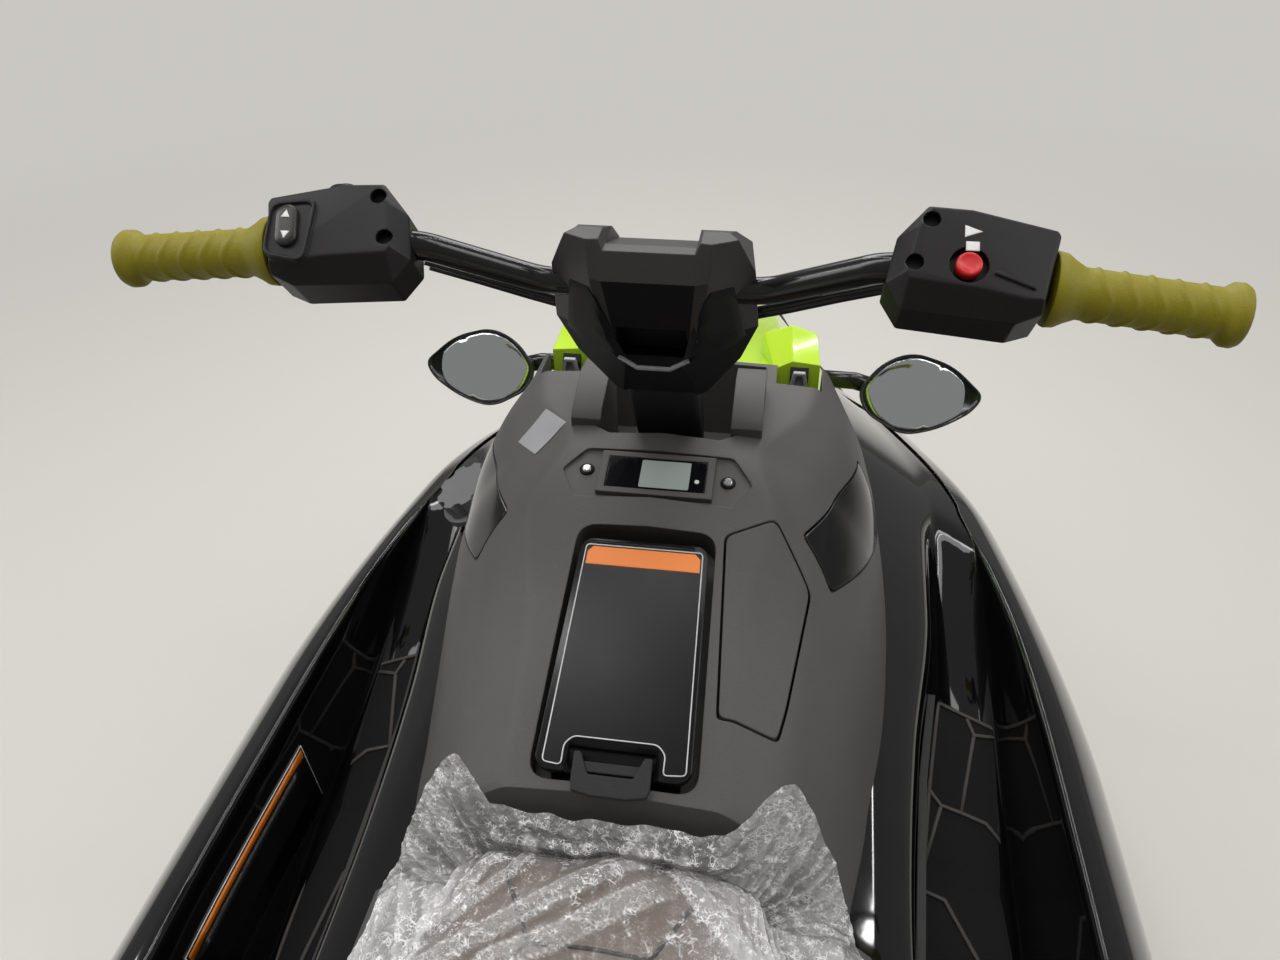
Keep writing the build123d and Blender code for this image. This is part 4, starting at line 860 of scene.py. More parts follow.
def lid_recess():
    """Outline of the recess round the lid."""
    rear, front, far = LID_HALF_REAR + LID_GAP, LID_HALF_FRONT + LID_GAP, LID_LENGTH + LID_FRONT_GAP
    return rounded_loop([(-rear, -LID_GAP), (rear, -LID_GAP), (front, far), (-front, far)], LID_RECESS_RADIUS)


def access_blank(by):
    """A solid over the access panel's outline, grown by a distance."""
    outline = rounded_loop(grown(ACCESS_PANEL, by), PANEL_ROUNDING, 3)
    bottoms = [(p.x, p.y, cowl_top(p.x, p.y) - ACCESS_CUT) for p in outline]
    return prism("access_blank", bottoms, [(p.x, p.y, ACCESS_TOP_Z) for p in outline])


def smoked_blank(side, by):
    """A solid over a smoked panel's outline, grown by a distance."""
    outline = rounded_loop(grown(SMOKED_PANEL, by), PANEL_ROUNDING, 3)
    inner = [(side * (cowl_side(p.x, p.y) - SMOKED_CUT), p.x, p.y) for p in outline]
    return prism("smoked_blank", inner, [(side * CUT_SIDE_X, p.x, p.y) for p in outline])


def let_in(shell, name, blank, material, slot, stands_for):
    """Parts a panel from a shell along a thin seam."""
    panel = in_scene(name, shell.data.copy())
    boolean(panel, blank(-SEAM), "INTERSECT")
    cut(shell, blank(SEAM))
    panel.data.materials.clear()
    panel.data.materials.append(materials[material])
    smooth_by_angle(panel, 30)
    place(panel, "craft", slot, stands_for)


def make_cowl():
    count = round((COWL_FRONT_Y - COWL_REAR_Y) / COWL_STEP)
    stations = [lerp(COWL_REAR_Y, COWL_FRONT_Y, k / count) for k in range(count + 1)]
    shell = skin_rings("cowl_shell", [mirrored(cowl_half(y), y) for y in stations], "mould_grey")
    pocket = rounded_loop(DISPLAY_POCKET, POCKET_ROUNDING, 3)
    cut(
        shell,
        plane_prism("lid_recess", LID_AXES, lid_recess(), -LID_RECESS_DEPTH, CUT_OVER),
        plane_prism("display_pocket", DISPLAY_AXES, pocket, 0, POCKET_TOP),
        prism("trough", *([(x, y, z) for x, y in TROUGH] for z in (TROUGH_FLOOR_Z, CUT_TOP_Z))),
    )
    for side, _ in SIDES:
        boolean(shell, side_prism("cheek", CHEEK, *(side * x for x in CHEEK_X)), "UNION")
        low, high = sorted((side * CHANNEL_LOW[0], side * CHANNEL_HIGH[0]))
        cut(shell, box_mesh("channel", (low, *CHANNEL_LOW[1:]), (high, *CHANNEL_HIGH[1:])))
    cut(shell, plane_prism("bore", COLUMN_AXES, disc(COLUMN_R, sides=24), -BORE_DEPTH, 0.0))
    let_in(shell, "access_cover", access_blank, "mould_grey", "mould_grey", "access_panel")
    for side, label in SIDES:
        blank = partial(smoked_blank, side)
        let_in(shell, "smoked_cover_" + label, blank, "smoked_gloss", "smoked_gloss", "smoked_panels")
    smooth_by_angle(shell, 30)
    place(shell, "craft", "mould_grey", "cowl")


# Glovebox lid

MARK_LIFT = 0.0004
# The label's place, with a notch round the latch: across and up the lid from its rear edge
LABEL = [
    (-0.041, 0.0045), (-0.0412, 0.0215), (-0.0345, 0.0285), (0.0335, 0.0285), (0.0405, 0.0215),
    (0.0405, 0.005), (0.0585, 0.0065), (0.052, 0.2015), (-0.052, 0.2015), (-0.0565, 0.006),
]
LABEL_ROUNDING, LABEL_LINE = 0.004, 0.0011
LABEL_Z, BAND_Z = (-0.0003, 0.0002), (-0.0004, 0.0005)
LABEL_BAND = [
    (-0.0505, 0.182), (0.051, 0.182), (0.0506, 0.195), (0.0455, 0.2), (-0.0455, 0.2), (-0.0501, 0.195),
]
# The latch: its surround, its well and its finger plate with two prongs
LATCH_SURROUND = [(-0.0395, 0.0005), (0.0395, 0.0005), (0.0395, 0.0425), (-0.0395, 0.0425)]
LATCH_WELL = [(-0.0365, -0.01), (0.034, -0.01), (0.0335, 0.0205), (-0.0365, 0.0208)]
LATCH_PLATE = [
    (-0.029, -0.0155), (-0.0305, -0.009), (-0.0312, 0.0155), (-0.0258, 0.0157), (-0.0178, -0.0015),
    (0.018, -0.0015), (0.0255, 0.0157), (0.0315, 0.0155), (0.0325, -0.009), (0.030, -0.0155),
    (0.015, -0.0185), (-0.013, -0.0185),
]
LATCH_STEM = [(-0.03, 0.001), (0.031, 0.001), (0.031, 0.009), (-0.03, 0.009)]
# Heights over the lid: the well's floor, the plate's faces and the stem's top
LATCH_WELL_Z, LATCH_PLATE_Z, LATCH_STEM_Z = -0.0068, (0.0009, 0.0062), 0.002


def make_lid_marks():
    """The blank label on the lid with its pale outline and head band, and the latch."""
    corners = rounded_loop(LABEL, LABEL_ROUNDING)
    line = [on_plane(LID_AXES, *p, MARK_LIFT) for p in corners]
    label = plane_prism("lid_label", LID_AXES, corners, *LABEL_Z, "label_black")
    outline = ribbon("lid_outline", line, LID_AXES[3], LABEL_LINE, "mark_pale", closed=True)
    band = plane_prism("lid_band", LID_AXES, LABEL_BAND, *BAND_Z, "mark_orange")
    for piece in (label, outline, band):
        place(piece, "glovebox_lid")
    surround = plane_prism("latch_surround", LID_AXES, LATCH_SURROUND, -LID_THICK, 0.0, "smoked_gloss")
    cut(surround, plane_prism("well", LID_AXES, LATCH_WELL, LATCH_WELL_Z, 0.02))
    finger = plane_prism("latch_finger", LID_AXES, LATCH_PLATE, *LATCH_PLATE_Z, "mould_black")
    faceted(finger, 0.0012)
    stem = plane_prism("stem", LID_AXES, LATCH_STEM, LATCH_WELL_Z, LATCH_STEM_Z, "mould_black")
    for piece in (surround, join("latch_finger", [finger, stem])):
        place(piece, "glovebox_lid", "mould_black", "lid_latch")


# Hood latches

# Frames and caps, seen from the rider: across and up
LATCH_X, LATCH_Y = 0.128, 0.4955
LATCH_FRAME = [
    (-0.0065, 0.737), (0.0065, 0.737), (0.013, 0.704), (0.013, 0.690), (-0.013, 0.690), (-0.013, 0.704),
]
LATCH_SLOT = [
    (-0.003, 0.733), (0.003, 0.733), (0.0085, 0.703), (0.0085, 0.693), (-0.0085, 0.693), (-0.0085, 0.703),
]
# How far the frame stands behind the hood's rear face and reaches into it, and how deep its slot is
RIM_PROUD, RIM_SINK, SLOT_SINK = 0.0045, 0.001, 0.0002
LATCH_CAP_Z, CAP_STRETCH = 0.711, 0.8
# Columns: radius, place along the craft from the hood's rear face
LATCH_CAP = [(0.0068, -0.004), (0.0068, -0.0095), (0.0058, -0.0108), (0.002, -0.0112)]


def make_hood_latch_details():
    for side, label in SIDES:
        at = side * LATCH_X
        frame_line, slot_line = ([(at + x, z) for x, z in line] for line in (LATCH_FRAME, LATCH_SLOT))
        rim_ends = LATCH_Y - RIM_PROUD, LATCH_Y + RIM_SINK
        rim = front_prism("latch_frame_" + label, frame_line, *rim_ends, "lip_grey")
        cut(rim, front_prism("slot", slot_line, LATCH_Y - 0.02, LATCH_Y + SLOT_SINK))
        faceted(rim, 0.0008)
        rings = []
        for radius, y in LATCH_CAP:
            rings.append([(x, LATCH_Y + y, z) for x, z in disc(radius, (at, LATCH_CAP_Z), 20, CAP_STRETCH)])
        knob = skin_rings("latch_cap_" + label, rings, "cap_grey")
        smooth_by_angle(knob, 40)
        for piece in (rim, knob):
            place(piece, "hood")


# Plate on the cowl's shoulder

# Blank, on the port side: across and along
SHOULDER_PLATE = [(-0.1269, 0.3739), (-0.0998, 0.3492), (-0.1253, 0.3145), (-0.1505, 0.3425)]
PLATE_TOP, PLATE_BOTTOM = 0.0007, 0.0003
PLATE_STEPS = 8


def make_shoulder_plate():
    a, b, c, d = (Vector(p) for p in SHOULDER_PLATE)
    count, wide = PLATE_STEPS, PLATE_STEPS + 1
    shares = [k / count for k in range(wide)]
    spots = [a.lerp(d, r).lerp(b.lerp(c, r), s) for r in shares for s in shares]
    vertices = [(p.x, p.y, cowl_top(p.x, p.y) + over) for over in (PLATE_TOP, PLATE_BOTTOM) for p in spots]
    upper, base = grid_faces(wide, wide), len(spots)
    lower = [tuple(base + k for k in reversed(face)) for face in upper]
    rim = [*range(count), *range(count, base - 1, wide)]
    rim += [*range(base - 1, base - wide, -1), *range(base - wide, 0, -wide)]
    sides = [(i, j, base + j, base + i) for i, j in zip(rim, rim[1:] + rim[:1])]
    plate = new_object("shoulder_plate", vertices, upper + lower + sides, "plate_silver")
    fix_normals(plate)
    smooth_by_angle(plate, 50)
    place(plate, "craft")


# Footwells

# Lines moulded in the footwell mats, as (x, y), each an outline or a branch
MAT_LINES = [
    [
        (0.347, 0.449), (0.42, 0.421), (0.424, 0.349), (0.427, 0.258), (0.428, 0.12), (0.434, -0.04),
        (0.434, -0.5),
    ],
    [(0.347, 0.449), (0.333, 0.339), (0.322, 0.224), (0.301, 0.1), (0.292, -0.04), (0.286, -0.5)],
    [(0.383, 0.432), (0.391, 0.412), (0.42, 0.412)],
    [(0.391, 0.412), (0.371, 0.316)],
    [(0.333, 0.339), (0.347, 0.322), (0.371, 0.316), (0.4, 0.307), (0.422, 0.283)],
    [(0.347, 0.321), (0.325, 0.253)],
    [
        (0.322, 0.224), (0.348, 0.216), (0.382, 0.157), (0.4, 0.06), (0.396, -0.12), (0.372, -0.2),
        (0.372, -0.42),
    ],
    [(0.434, -0.5), (0.4, -0.53), (0.33, -0.53), (0.286, -0.5)],
    [(0.286, -0.56), (0.33, -0.54), (0.4, -0.54), (0.434, -0.56), (0.43, -1.0), (0.4, -1.03), (0.31, -1.03),
     (0.28, -1.0), (0.286, -0.56)],
    [(0.31, -1.03), (0.34, -0.86), (0.34, -0.66), (0.4, -0.54)],
]
MAT_THICK = 0.0073
MAT_LINE_WIDTH, MAT_LINE_HEIGHT, MAT_LINE_STEP = 0.0052, 0.0016, 0.03


def mat_height(y):
    for low, high in zip(WELL_ROWS, WELL_ROWS[1:]):
        if y <= high[0]:
            return lerp(low[3], high[3], (y - low[0]) / (high[0] - low[0])) + MAT_THICK
    return WELL_ROWS[-1][3]


def make_mat_lines():
    lines, up = [], Vector((0, 0, 1))
    for side, _ in SIDES:
        for line in MAT_LINES:
            points = [Vector((side * p.x, p.y, mat_height(p.y))) for p in spaced(line, MAT_LINE_STEP)]
            lines.append(ribbon("line", points, up, MAT_LINE_WIDTH, "mat_line", thick=MAT_LINE_HEIGHT))
    place(join("mat_lines", lines), "craft")


# Side label, blank, on the outer wall of the port footwell: its place, its edge and its head band
SIDE_LABEL_Y = (-0.03, 0.235)
SIDE_LABEL_Z = (0.212, 0.322)
SIDE_LABEL_RIM, SIDE_LABEL_EDGE, SIDE_LABEL_BAND = 0.0015, 0.004, 0.018
PATCH_ROWS, PATCH_WIDE, PATCH_THICK = 9, 4, 0.0004


def wall_patch(name, inset, z_low, z_high, over, material):
    """A thin patch on the port footwell's outer wall."""
    vertices = []
    for k in range(PATCH_ROWS):
        y = lerp(SIDE_LABEL_Y[0] + inset, SIDE_LABEL_Y[1] - inset, k / (PATCH_ROWS - 1))
        foot_in, foot_out, floor, top_in, top_out = along_rows(WELL_ROWS, y)
        for j in range(PATCH_WIDE):
            z = lerp(z_low, z_high, j / (PATCH_WIDE - 1))
            vertices.append((-(wall_x(foot_out, top_out, floor, z) - over), y, z))
    patch = new_object(name, vertices, grid_faces(PATCH_ROWS, PATCH_WIDE), material)
    modify(patch, "SOLIDIFY", thickness=PATCH_THICK)
    place(patch, "craft")


def make_side_label():
    low, high = SIDE_LABEL_Z
    rim, edge = SIDE_LABEL_RIM, SIDE_LABEL_EDGE
    wall_patch("side_label_edge", 0, low, high, 0.0015, "mark_pale")
    wall_patch("side_label", rim, low + rim, high - rim, 0.0019, "label_black")
    wall_patch("side_label_band", edge, high - SIDE_LABEL_BAND, high - edge, 0.0023, "mark_orange")

# Mirrors

MIRROR_AT, MIRROR_FACING, MIRROR_TURN = (0.268, 0.618, 0.640), (0.1, -0.86, 0.5), 0.12
MIRROR_OUTLINE = [
    (0.089, -0.004), (0.05, 0.034), (0.0, 0.051), (-0.036, 0.038), (-0.066, 0.004), (-0.056, -0.024),
    (-0.01, -0.053), (0.036, -0.044), (0.074, -0.024),
]
MIRROR_ROUNDING = 0.02
# Columns: share of the outline, height over the glass's seat
MIRROR_SHELL = [
    (0.55, -0.03), (0.8, -0.022), (0.95, -0.01), (1.0, 0.0), (1.0, 0.003), (0.975, 0.0045), (0.95, 0.003),
    (0.945, 0.001),
]
# The glass is slightly domed: shares of the outline, its height in the middle and its radius
GLASS_SHARES = (0.945, 0.85, 0.7, 0.55, 0.4, 0.25, 0.12, 0.03)
MIRROR_CROWN, MIRROR_RADIUS = 0.0028, 1.2
# The stalk runs from the hood to behind the shell
STALK = [(0.152, 0.64, 0.640), (0.2, 0.634, 0.643)]
STALK_END, STALK_R = (-0.02, 0, -0.02), 0.011


def mirror_axes(side):
    at, normal = (Vector((side * x, y, z)) for x, y, z in (MIRROR_AT, MIRROR_FACING))
    normal.normalize()
    lines = (Vector((side, MIRROR_TURN, 0)), Vector((0, 0, 1)))
    right, up = ((line - normal * line.dot(normal)).normalized() for line in lines)
    return at, right, up, normal


def make_mirrors():
    loop = rounded_loop(MIRROR_OUTLINE, MIRROR_ROUNDING, 5)
    for side, label in SIDES:
        axes = mirror_axes(side)
        rows = [([p * share for p in loop], over) for share, over in MIRROR_SHELL]
        shell = plane_rings("mirror_shell_" + label, axes, rows, "bar_paint")
        points = [Vector((side * x, y, z)) for x, y, z in STALK] + [on_plane(axes, *STALK_END)]
        shell = join("mirror_shell_" + label, [shell, tube("stalk", points, STALK_R, "bar_paint")])
        rings = []
        for share in GLASS_SHARES:
            domed = [(p * share, MIRROR_CROWN - (p * share).length_squared / 2 / MIRROR_RADIUS) for p in loop]
            rings.append([on_plane(axes, *p, over) for p, over in domed])
        glass = skin_rings("mirror_glass_" + label, rings, "mirror_silver")
        smooth_by_angle(glass, 30)
        place(shell, "hood", "smoked_gloss", "mirror_housings")
        place(glass, "hood", "mirror", "mirror_glasses")


# Grips

BAR_ELBOW, BAR_END = (0.177, 0.236, 0.991), (0.416, 0.226, 0.971)
GRIP_INNER_X = 0.290
# Columns: distance along the grip, radius
GRIP_PROFILE = [
    (0, 0.0262), (0.002, 0.027), (0.008, 0.0262), (0.014, 0.0225), (0.022, 0.0186), (0.116, 0.0182),
    (0.119, 0.0205), (0.122, 0.0226), (0.1275, 0.0228), (0.1305, 0.0212), (0.131, 0.016),
]
# Ridges: places along the grip, half width, height, and how far they wave along it
GRIP_RIDGES = (0.034, 0.052, 0.07, 0.088, 0.106)
RIDGE_HALF, RIDGE_HEIGHT, RIDGE_WAVE = 0.0024, 0.0013, 0.005
GRIP_BODY, GRIP_STEP, GRIP_STEPS, GRIP_SIDES = 0.022, 0.0015, 62, 56


def on_bar(x):
    """The middle of the bar's starboard arm at a distance from the centre plane."""
    start, end = Vector(BAR_ELBOW), Vector(BAR_END)
    return start.lerp(end, (x - start.x) / (end.x - start.x))


def make_grips():
    """Rubber grips with a flared collar, waved ridges and a flange at the end."""
    origin = on_bar(GRIP_INNER_X)
    along = (Vector(BAR_END) - Vector(BAR_ELBOW)).normalized()
    right = along.cross(Vector((0, 0, 1))).normalized()
    up = right.cross(along)
    stations = {row[0] for row in GRIP_PROFILE} | {GRIP_BODY + GRIP_STEP * k for k in range(GRIP_STEPS)}
    rings = []
    for at in sorted(stations):
        radius, ring = along_rows(GRIP_PROFILE, at)[0], []
        for turn in (2 * pi * k / GRIP_SIDES for k in range(GRIP_SIDES)):
            offs = [at - ridge - RIDGE_WAVE * cos(2 * turn) for ridge in GRIP_RIDGES]
            proud = sum(RIDGE_HEIGHT * max(0.0, 1 - (off / RIDGE_HALF) ** 2) for off in offs)
            ring.append(origin + along * at + (right * cos(turn) + up * sin(turn)) * (radius + proud))
        rings.append(ring)
    for side, label in SIDES:
        placed = [[(side * p.x, p.y, p.z) for p in ring] for ring in rings]
        grip = skin_rings("grip_" + label, placed, "lime_grip")
        smooth_by_angle(grip, 40)
        place(grip, "bars", "lime_grip", "grips")


# Pad on the bars

# Columns: height, middle half width, middle y, ridge x, ridge y, side x, side y, front half width, front y
PAD_ROWS = [
    (0.992, 0.036, 0.258, 0.049, 0.256, 0.068, 0.266, 0.060, 0.279),
    (0.984, 0.036, 0.254, 0.0485, 0.254, 0.072, 0.268, 0.064, 0.300),
    (0.962, 0.037, 0.246, 0.047, 0.250, 0.082, 0.274, 0.076, 0.330),
    (0.905, 0.031, 0.262, 0.038, 0.258, 0.086, 0.292, 0.080, 0.344),
    (0.866, 0.022, 0.286, 0.026, 0.280, 0.072, 0.304, 0.066, 0.348),
    (0.818, 0.030, 0.316, 0.034, 0.314, 0.042, 0.320, 0.040, 0.340),
]
PAD_NOTCH = [(-0.036, 0.984), (0.036, 0.984), (0.048, 1.01), (-0.048, 1.01)]
PAD_NOTCH_SIDE = [(0.266, 0.9842), (0.345, 0.955), (0.4, 0.955), (0.4, 1.02), (0.266, 1.02)]
PAD_NOTCH_X, PAD_BEVEL, INSET_STEP = 0.0362, 0.0028, 0.006
PAD_RECESS = [(-0.029, 0.915), (0.029, 0.915), (0.031, 0.878), (-0.031, 0.878)]
PAD_RECESS_Y = 0.294
# Painted shade: the pad's middle below its band, and its foot, take the darker inset material, as if out of
# the light that falls on the band above
PAD_BAND_Z, PAD_MIDDLE_X, PAD_FOOT_Z = 0.9615, 0.034, 0.9
PAD_INSET = [
    (-0.066, 0.953), (-0.049, 0.953), (-0.043, 0.944), (-0.033, 0.914), (-0.024, 0.873), (-0.064, 0.884),
    (-0.076, 0.897),
]
PAD_LIP = [(-0.03, 0.2745, 0.878), (-0.014, 0.272, 0.8695), (0.014, 0.272, 0.8695), (0.03, 0.2745, 0.878)]
PAD_LIP_FACING, PAD_LIP_WIDTH, PAD_LIP_THICK = (0, -0.86, 0.5), 0.0042, 0.003
# Columns: share of the inset's outline, height over the pad's face
INSET_RISE = [(1.0, -0.002), (1.0, 0.0006), (0.975, 0.0012), (0.7, 0.0012), (0.4, 0.0012), (0.1, 0.0012)]


def pad_face(x, z):
    """Distance of the pad's face along the boat at a place seen from the rider."""
    low = max(k for k in range(len(PAD_ROWS) - 1) if PAD_ROWS[k][0] >= min(z, PAD_ROWS[0][0]))
    a, b = PAD_ROWS[low], PAD_ROWS[low + 1]
    t = (a[0] - z) / (a[0] - b[0])
    mid_x, mid_y, ridge_x, ridge_y, side_x, side_y = (lerp(a[k], b[k], t) for k in range(1, 7))
    x = abs(x)
    if x <= mid_x:
        return mid_y
    if x <= ridge_x:
        return lerp(mid_y, ridge_y, (x - mid_x) / (ridge_x - mid_x))
    return lerp(ridge_y, side_y, (x - ridge_x) / (side_x - ridge_x))


def make_pad():
    rings = []
    for z, *row in PAD_ROWS:
        half = list(zip(row[::2], row[1::2]))
        rings.append([(x, y, z) for x, y in half] + [(-x, y, z) for x, y in reversed(half)])
    pad = skin_rings("pad_body", rings, "pad_black")
    cut(
        pad,
        front_prism("notch", PAD_NOTCH, 0.2, 0.4),
        front_prism("recess", PAD_RECESS, 0.2, PAD_RECESS_Y),
        side_prism("slope", PAD_NOTCH_SIDE, -PAD_NOTCH_X, PAD_NOTCH_X),
    )
    faceted(pad, PAD_BEVEL)
    # Painted shade: the lower middle and the foot get the dark inset material
    pad.data.materials.append(materials["pad_inset"])
    for face in pad.data.polygons:
        x, y, z = face.center
        if z < PAD_BAND_Z and (abs(x) < PAD_MIDDLE_X or z < PAD_FOOT_Z):
            face.material_index = 1
    outline = spaced(PAD_INSET + PAD_INSET[:1], INSET_STEP)[:-1]
    insets = []
    for side, _ in SIDES:
        rings = []
        for share, over in INSET_RISE:
            rings.append([(-side * p.x, pad_face(p.x, p.y) - over, p.y) for p in shrunk(outline, share)])
        insets.append(skin_rings("pad_inset", rings, "pad_inset"))
    insets = join("pad_insets", insets)
    smooth_by_angle(insets, 30)
    facing = Vector(PAD_LIP_FACING).normalized()
    lip = [Vector(p) for p in PAD_LIP]
    lip = ribbon("pad_lip", lip, facing, PAD_LIP_WIDTH, "lip_grey", thick=PAD_LIP_THICK)
    place(pad, "bars", "mould_black", "bar_pad")
    place(insets, "bars", "mould_black")
    place(lip, "bars")


# Switch housings

HOUSING_DEPTH, HOUSING_BACK, HOUSING_TAPER = 0.054, 0.008, 0.85
HOUSING_X = 0.234
# Columns: across, up, height below the face, face's across, face's up
HOUSING_EDGE = [
    (-0.059, -0.014, 0.013, -0.0465, -0.011), (-0.052, 0.021, 0.012, -0.0385, 0.024),
    (-0.032, 0.042, 0.0035, -0.030, 0.0395), (-0.002, 0.040, 0.003, -0.002, 0.038),
    (0.056, 0.026, 0.003, 0.0545, 0.0245), (0.058, 0.022, 0.003, 0.0562, 0.0205),
    (0.047, -0.035, 0.008, 0.0462, -0.0275), (0.030, -0.041, 0.013, 0.034, -0.0275),
    (-0.008, -0.0375, 0.014, 0.006, -0.0215), (-0.047, -0.034, 0.014, -0.0435, -0.0155),
]
HOUSING_SCREWS = [(-0.030, 0.030), (-0.0405, -0.0035)]
SCREW_HOLE_R = 0.0062
RECESS_R, RECESS_DEPTH = 0.0135, 0.0075
BUTTON_AT = (-0.004, -0.004)
# Columns, here and in the round and stepped parts below: radius or widths, and height over the face
BUTTON = [
    (0.009, -0.006), (0.009, 0.0012), (0.0081, 0.0024), (0.0072, 0.0024), (0.0063, 0.0019),
    (0.0027, 0.0016),
]
START_MARK = [(-0.0075, 0.0262), (0.0045, 0.0215), (-0.0075, 0.0168)]
STOP_MARK = [(-0.0066, 0.0136), (0.0026, 0.0136), (0.0026, 0.0066), (-0.0066, 0.0066)]
HOUSING_RIDGE = [(0.0135, -0.009), (0.0405, -0.0195)]
ROCKER_AT, ROCKER_TURN = (0.0365, 0.001), radians(-8)
ROCKER = [(0.0085, 0.0172, 0.0), (0.0085, 0.0172, 0.003), (0.0076, 0.0163, 0.004), (0.004, 0.012, 0.0042)]
# An arrow on the rocker and its distance from the middle
ARROW, ARROW_OUT = [(-0.0036, -0.0028), (0.0036, -0.0028), (0.0, 0.0034)], 0.0085
# Heights of the marks over the face, and the moulded ridge's width
MARK_Z, ARROW_Z, RIDGE_WIDTH = (-0.0003, 0.0004), (0.0035, 0.0046), 0.0032
BEZEL = [(0.0515, -0.0245), (0.0175, -0.0285), (0.0165, 0.0255), (0.0535, 0.0205)]
# Columns: share of the bezel's outline, height over the face
BEZEL_RISE = [(1.0, -0.004), (1.0, 0.0012), (0.97, 0.0026), (0.89, 0.0026), (0.84, 0.0006), (0.3, 0.0006)]
DOME_AT, DOME_DROP = (0.002, 0.036), 0.018
DOME = [
    (0.0155, -0.008), (0.0155, 0.0042), (0.0148, 0.0052), (0.0105, 0.0056), (0.0102, 0.0082),
    (0.0085, 0.0094), (0.003, 0.0098),
]


def housing_axes(side):
    at, normal = on_bar(HOUSING_X), Vector((0, -0.6, 0.8))
    at += normal * (HOUSING_DEPTH / 2)
    return Vector((side * at.x, at.y, at.z)), Vector((side, 0, 0)), Vector((0, 0.8, 0.6)), normal


def make_start_stop(axes):
    """The stop button with its marks; returns the moulded ridge."""
    button = lathed("button_red", axes, BUTTON_AT, BUTTON, "button_red")
    smooth_by_angle(button, 60)
    place(button, "bars", "button_red", "stop_button")
    for name, outline in (("mark_start", START_MARK), ("mark_stop", STOP_MARK)):
        place(plane_prism(name, axes, outline, *MARK_Z, "mark_pale"), "bars")
    ridge = [on_plane(axes, *p) for p in HOUSING_RIDGE]
    return [ribbon("ridge", ridge, axes[3], RIDGE_WIDTH, "housing_black", thick=RIDGE_WIDTH / 2)]


def make_trim_rocker(axes):
    """The rocker with its arrows; returns its bezel and the dome on the housing's front."""
    rows = [(capsule(wide, long, ROCKER_AT, ROCKER_TURN), over) for wide, long, over in ROCKER]
    rocker = plane_rings("rocker", axes, rows, "rocker_black")
    smooth_by_angle(rocker, 50)
    place(rocker, "bars", "mould_black", "trim_rocker")
    for name, sign in (("mark_up", 1), ("mark_down", -1)):
        across, along = ROCKER_AT[0] - sin(ROCKER_TURN) * sign * ARROW_OUT, ROCKER_AT[1] + sign * ARROW_OUT
        outline = [(across + x, along + sign * y) for x, y in ARROW]
        place(plane_prism(name, axes, outline, *ARROW_Z, "mark_pale"), "bars")
    loop = rounded_loop(BEZEL, 0.009, 5)
    rows = [(shrunk(loop, share), over) for share, over in BEZEL_RISE]
    bezel = plane_rings("bezel", axes, rows, "housing_black")
    dome_axes = (on_plane(axes, *DOME_AT, -DOME_DROP), axes[1], -axes[3], axes[2])
    return [bezel, lathed("dome", dome_axes, (0, 0), DOME, "housing_black", 32)]


def make_housings():
    for side, label in reversed(SIDES):
        axes = housing_axes(side)
        rings = [[], [], [], []]
        for x, y, drop, face_x, face_y in HOUSING_EDGE:
            rings[0].append(on_plane(axes, face_x, face_y))
            rings[1].append(on_plane(axes, x, y, -drop))
            rings[2].append(on_plane(axes, x, y, HOUSING_BACK - HOUSING_DEPTH))
            rings[3].append(on_plane(axes, x * HOUSING_TAPER, y * HOUSING_TAPER, -HOUSING_DEPTH))
        housing = skin_rings("housing_" + label, rings, "housing_black")
        faceted(housing, 0.0011, 12)
        for spot in HOUSING_SCREWS:
            cut(housing, plane_prism("screw", axes, disc(SCREW_HOLE_R, spot), -0.008, 0.02))
        if side > 0:
            cut(housing, plane_prism("recess", axes, disc(RECESS_R, BUTTON_AT, 36), -RECESS_DEPTH, 0.02))
        smooth_by_angle(housing, 28)
        extras = make_start_stop(axes) if side > 0 else make_trim_rocker(axes)
        for extra in extras:
            smooth_by_angle(extra, 40)
        housing = join("housing_" + label, [housing, *extras])
        place(housing, "bars", "mould_black", "switch_housing_" + label)


# Display

LCD = [(-0.015, -0.0165), (0.0315, -0.0165), (0.0315, 0.0165), (-0.015, 0.0165)]
DISPLAY_SCREWS = [(-0.067, 0.004), (0.067, 0.0)]
DISPLAY_BUTTON_R, DISPLAY_BUTTON_AT = 0.0022, (0.0385, -0.006)
# Columns: radius, height over the display's pocket
WASHER = [(0.0072, -0.001), (0.0072, 0.0008), (0.0062, 0.0016), (0.0042, 0.0016)]
SCREW = [(0.0042, 0.001), (0.0042, 0.0026), (0.0036, 0.0034), (0.0012, 0.0034)]


def make_display_details():
    glass, button = rounded_loop(LCD, 0.0015, 3), disc(DISPLAY_BUTTON_R, DISPLAY_BUTTON_AT)
    lcd = plane_prism("display_lcd", DISPLAY_AXES, glass, 0.003, 0.0058, "screen_glass")
    button = plane_prism("display_button", DISPLAY_AXES, button, 0.004, 0.0064, "mark_pale")
    screws = []
    for spot in DISPLAY_SCREWS:
        screws.append(lathed("washer", DISPLAY_AXES, spot, WASHER, "pad_inset"))
        screws.append(lathed("screw", DISPLAY_AXES, spot, SCREW, "steel"))
    screws = join("display_screws", screws)
    smooth_by_angle(screws, 30)
    for piece in (lcd, button, screws):
        place(piece, "craft")


# Seats

SEAT_BASE_Z = 0.505
# Columns: station, half width, edge z, crown z
SEAT_FRONT_ROWS = [
    (-0.590, 0.164, 0.590, 0.622), (-0.520, 0.168, 0.556, 0.592), (-0.150, 0.158, 0.556, 0.588),
    (-0.004, 0.122, 0.562, 0.594),
]
SEAT_REAR_ROWS = [(-1.110, 0.150, 0.596, 0.622), (-0.820, 0.162, 0.604, 0.634), (-0.596, 0.164, 0.592, 0.624)]
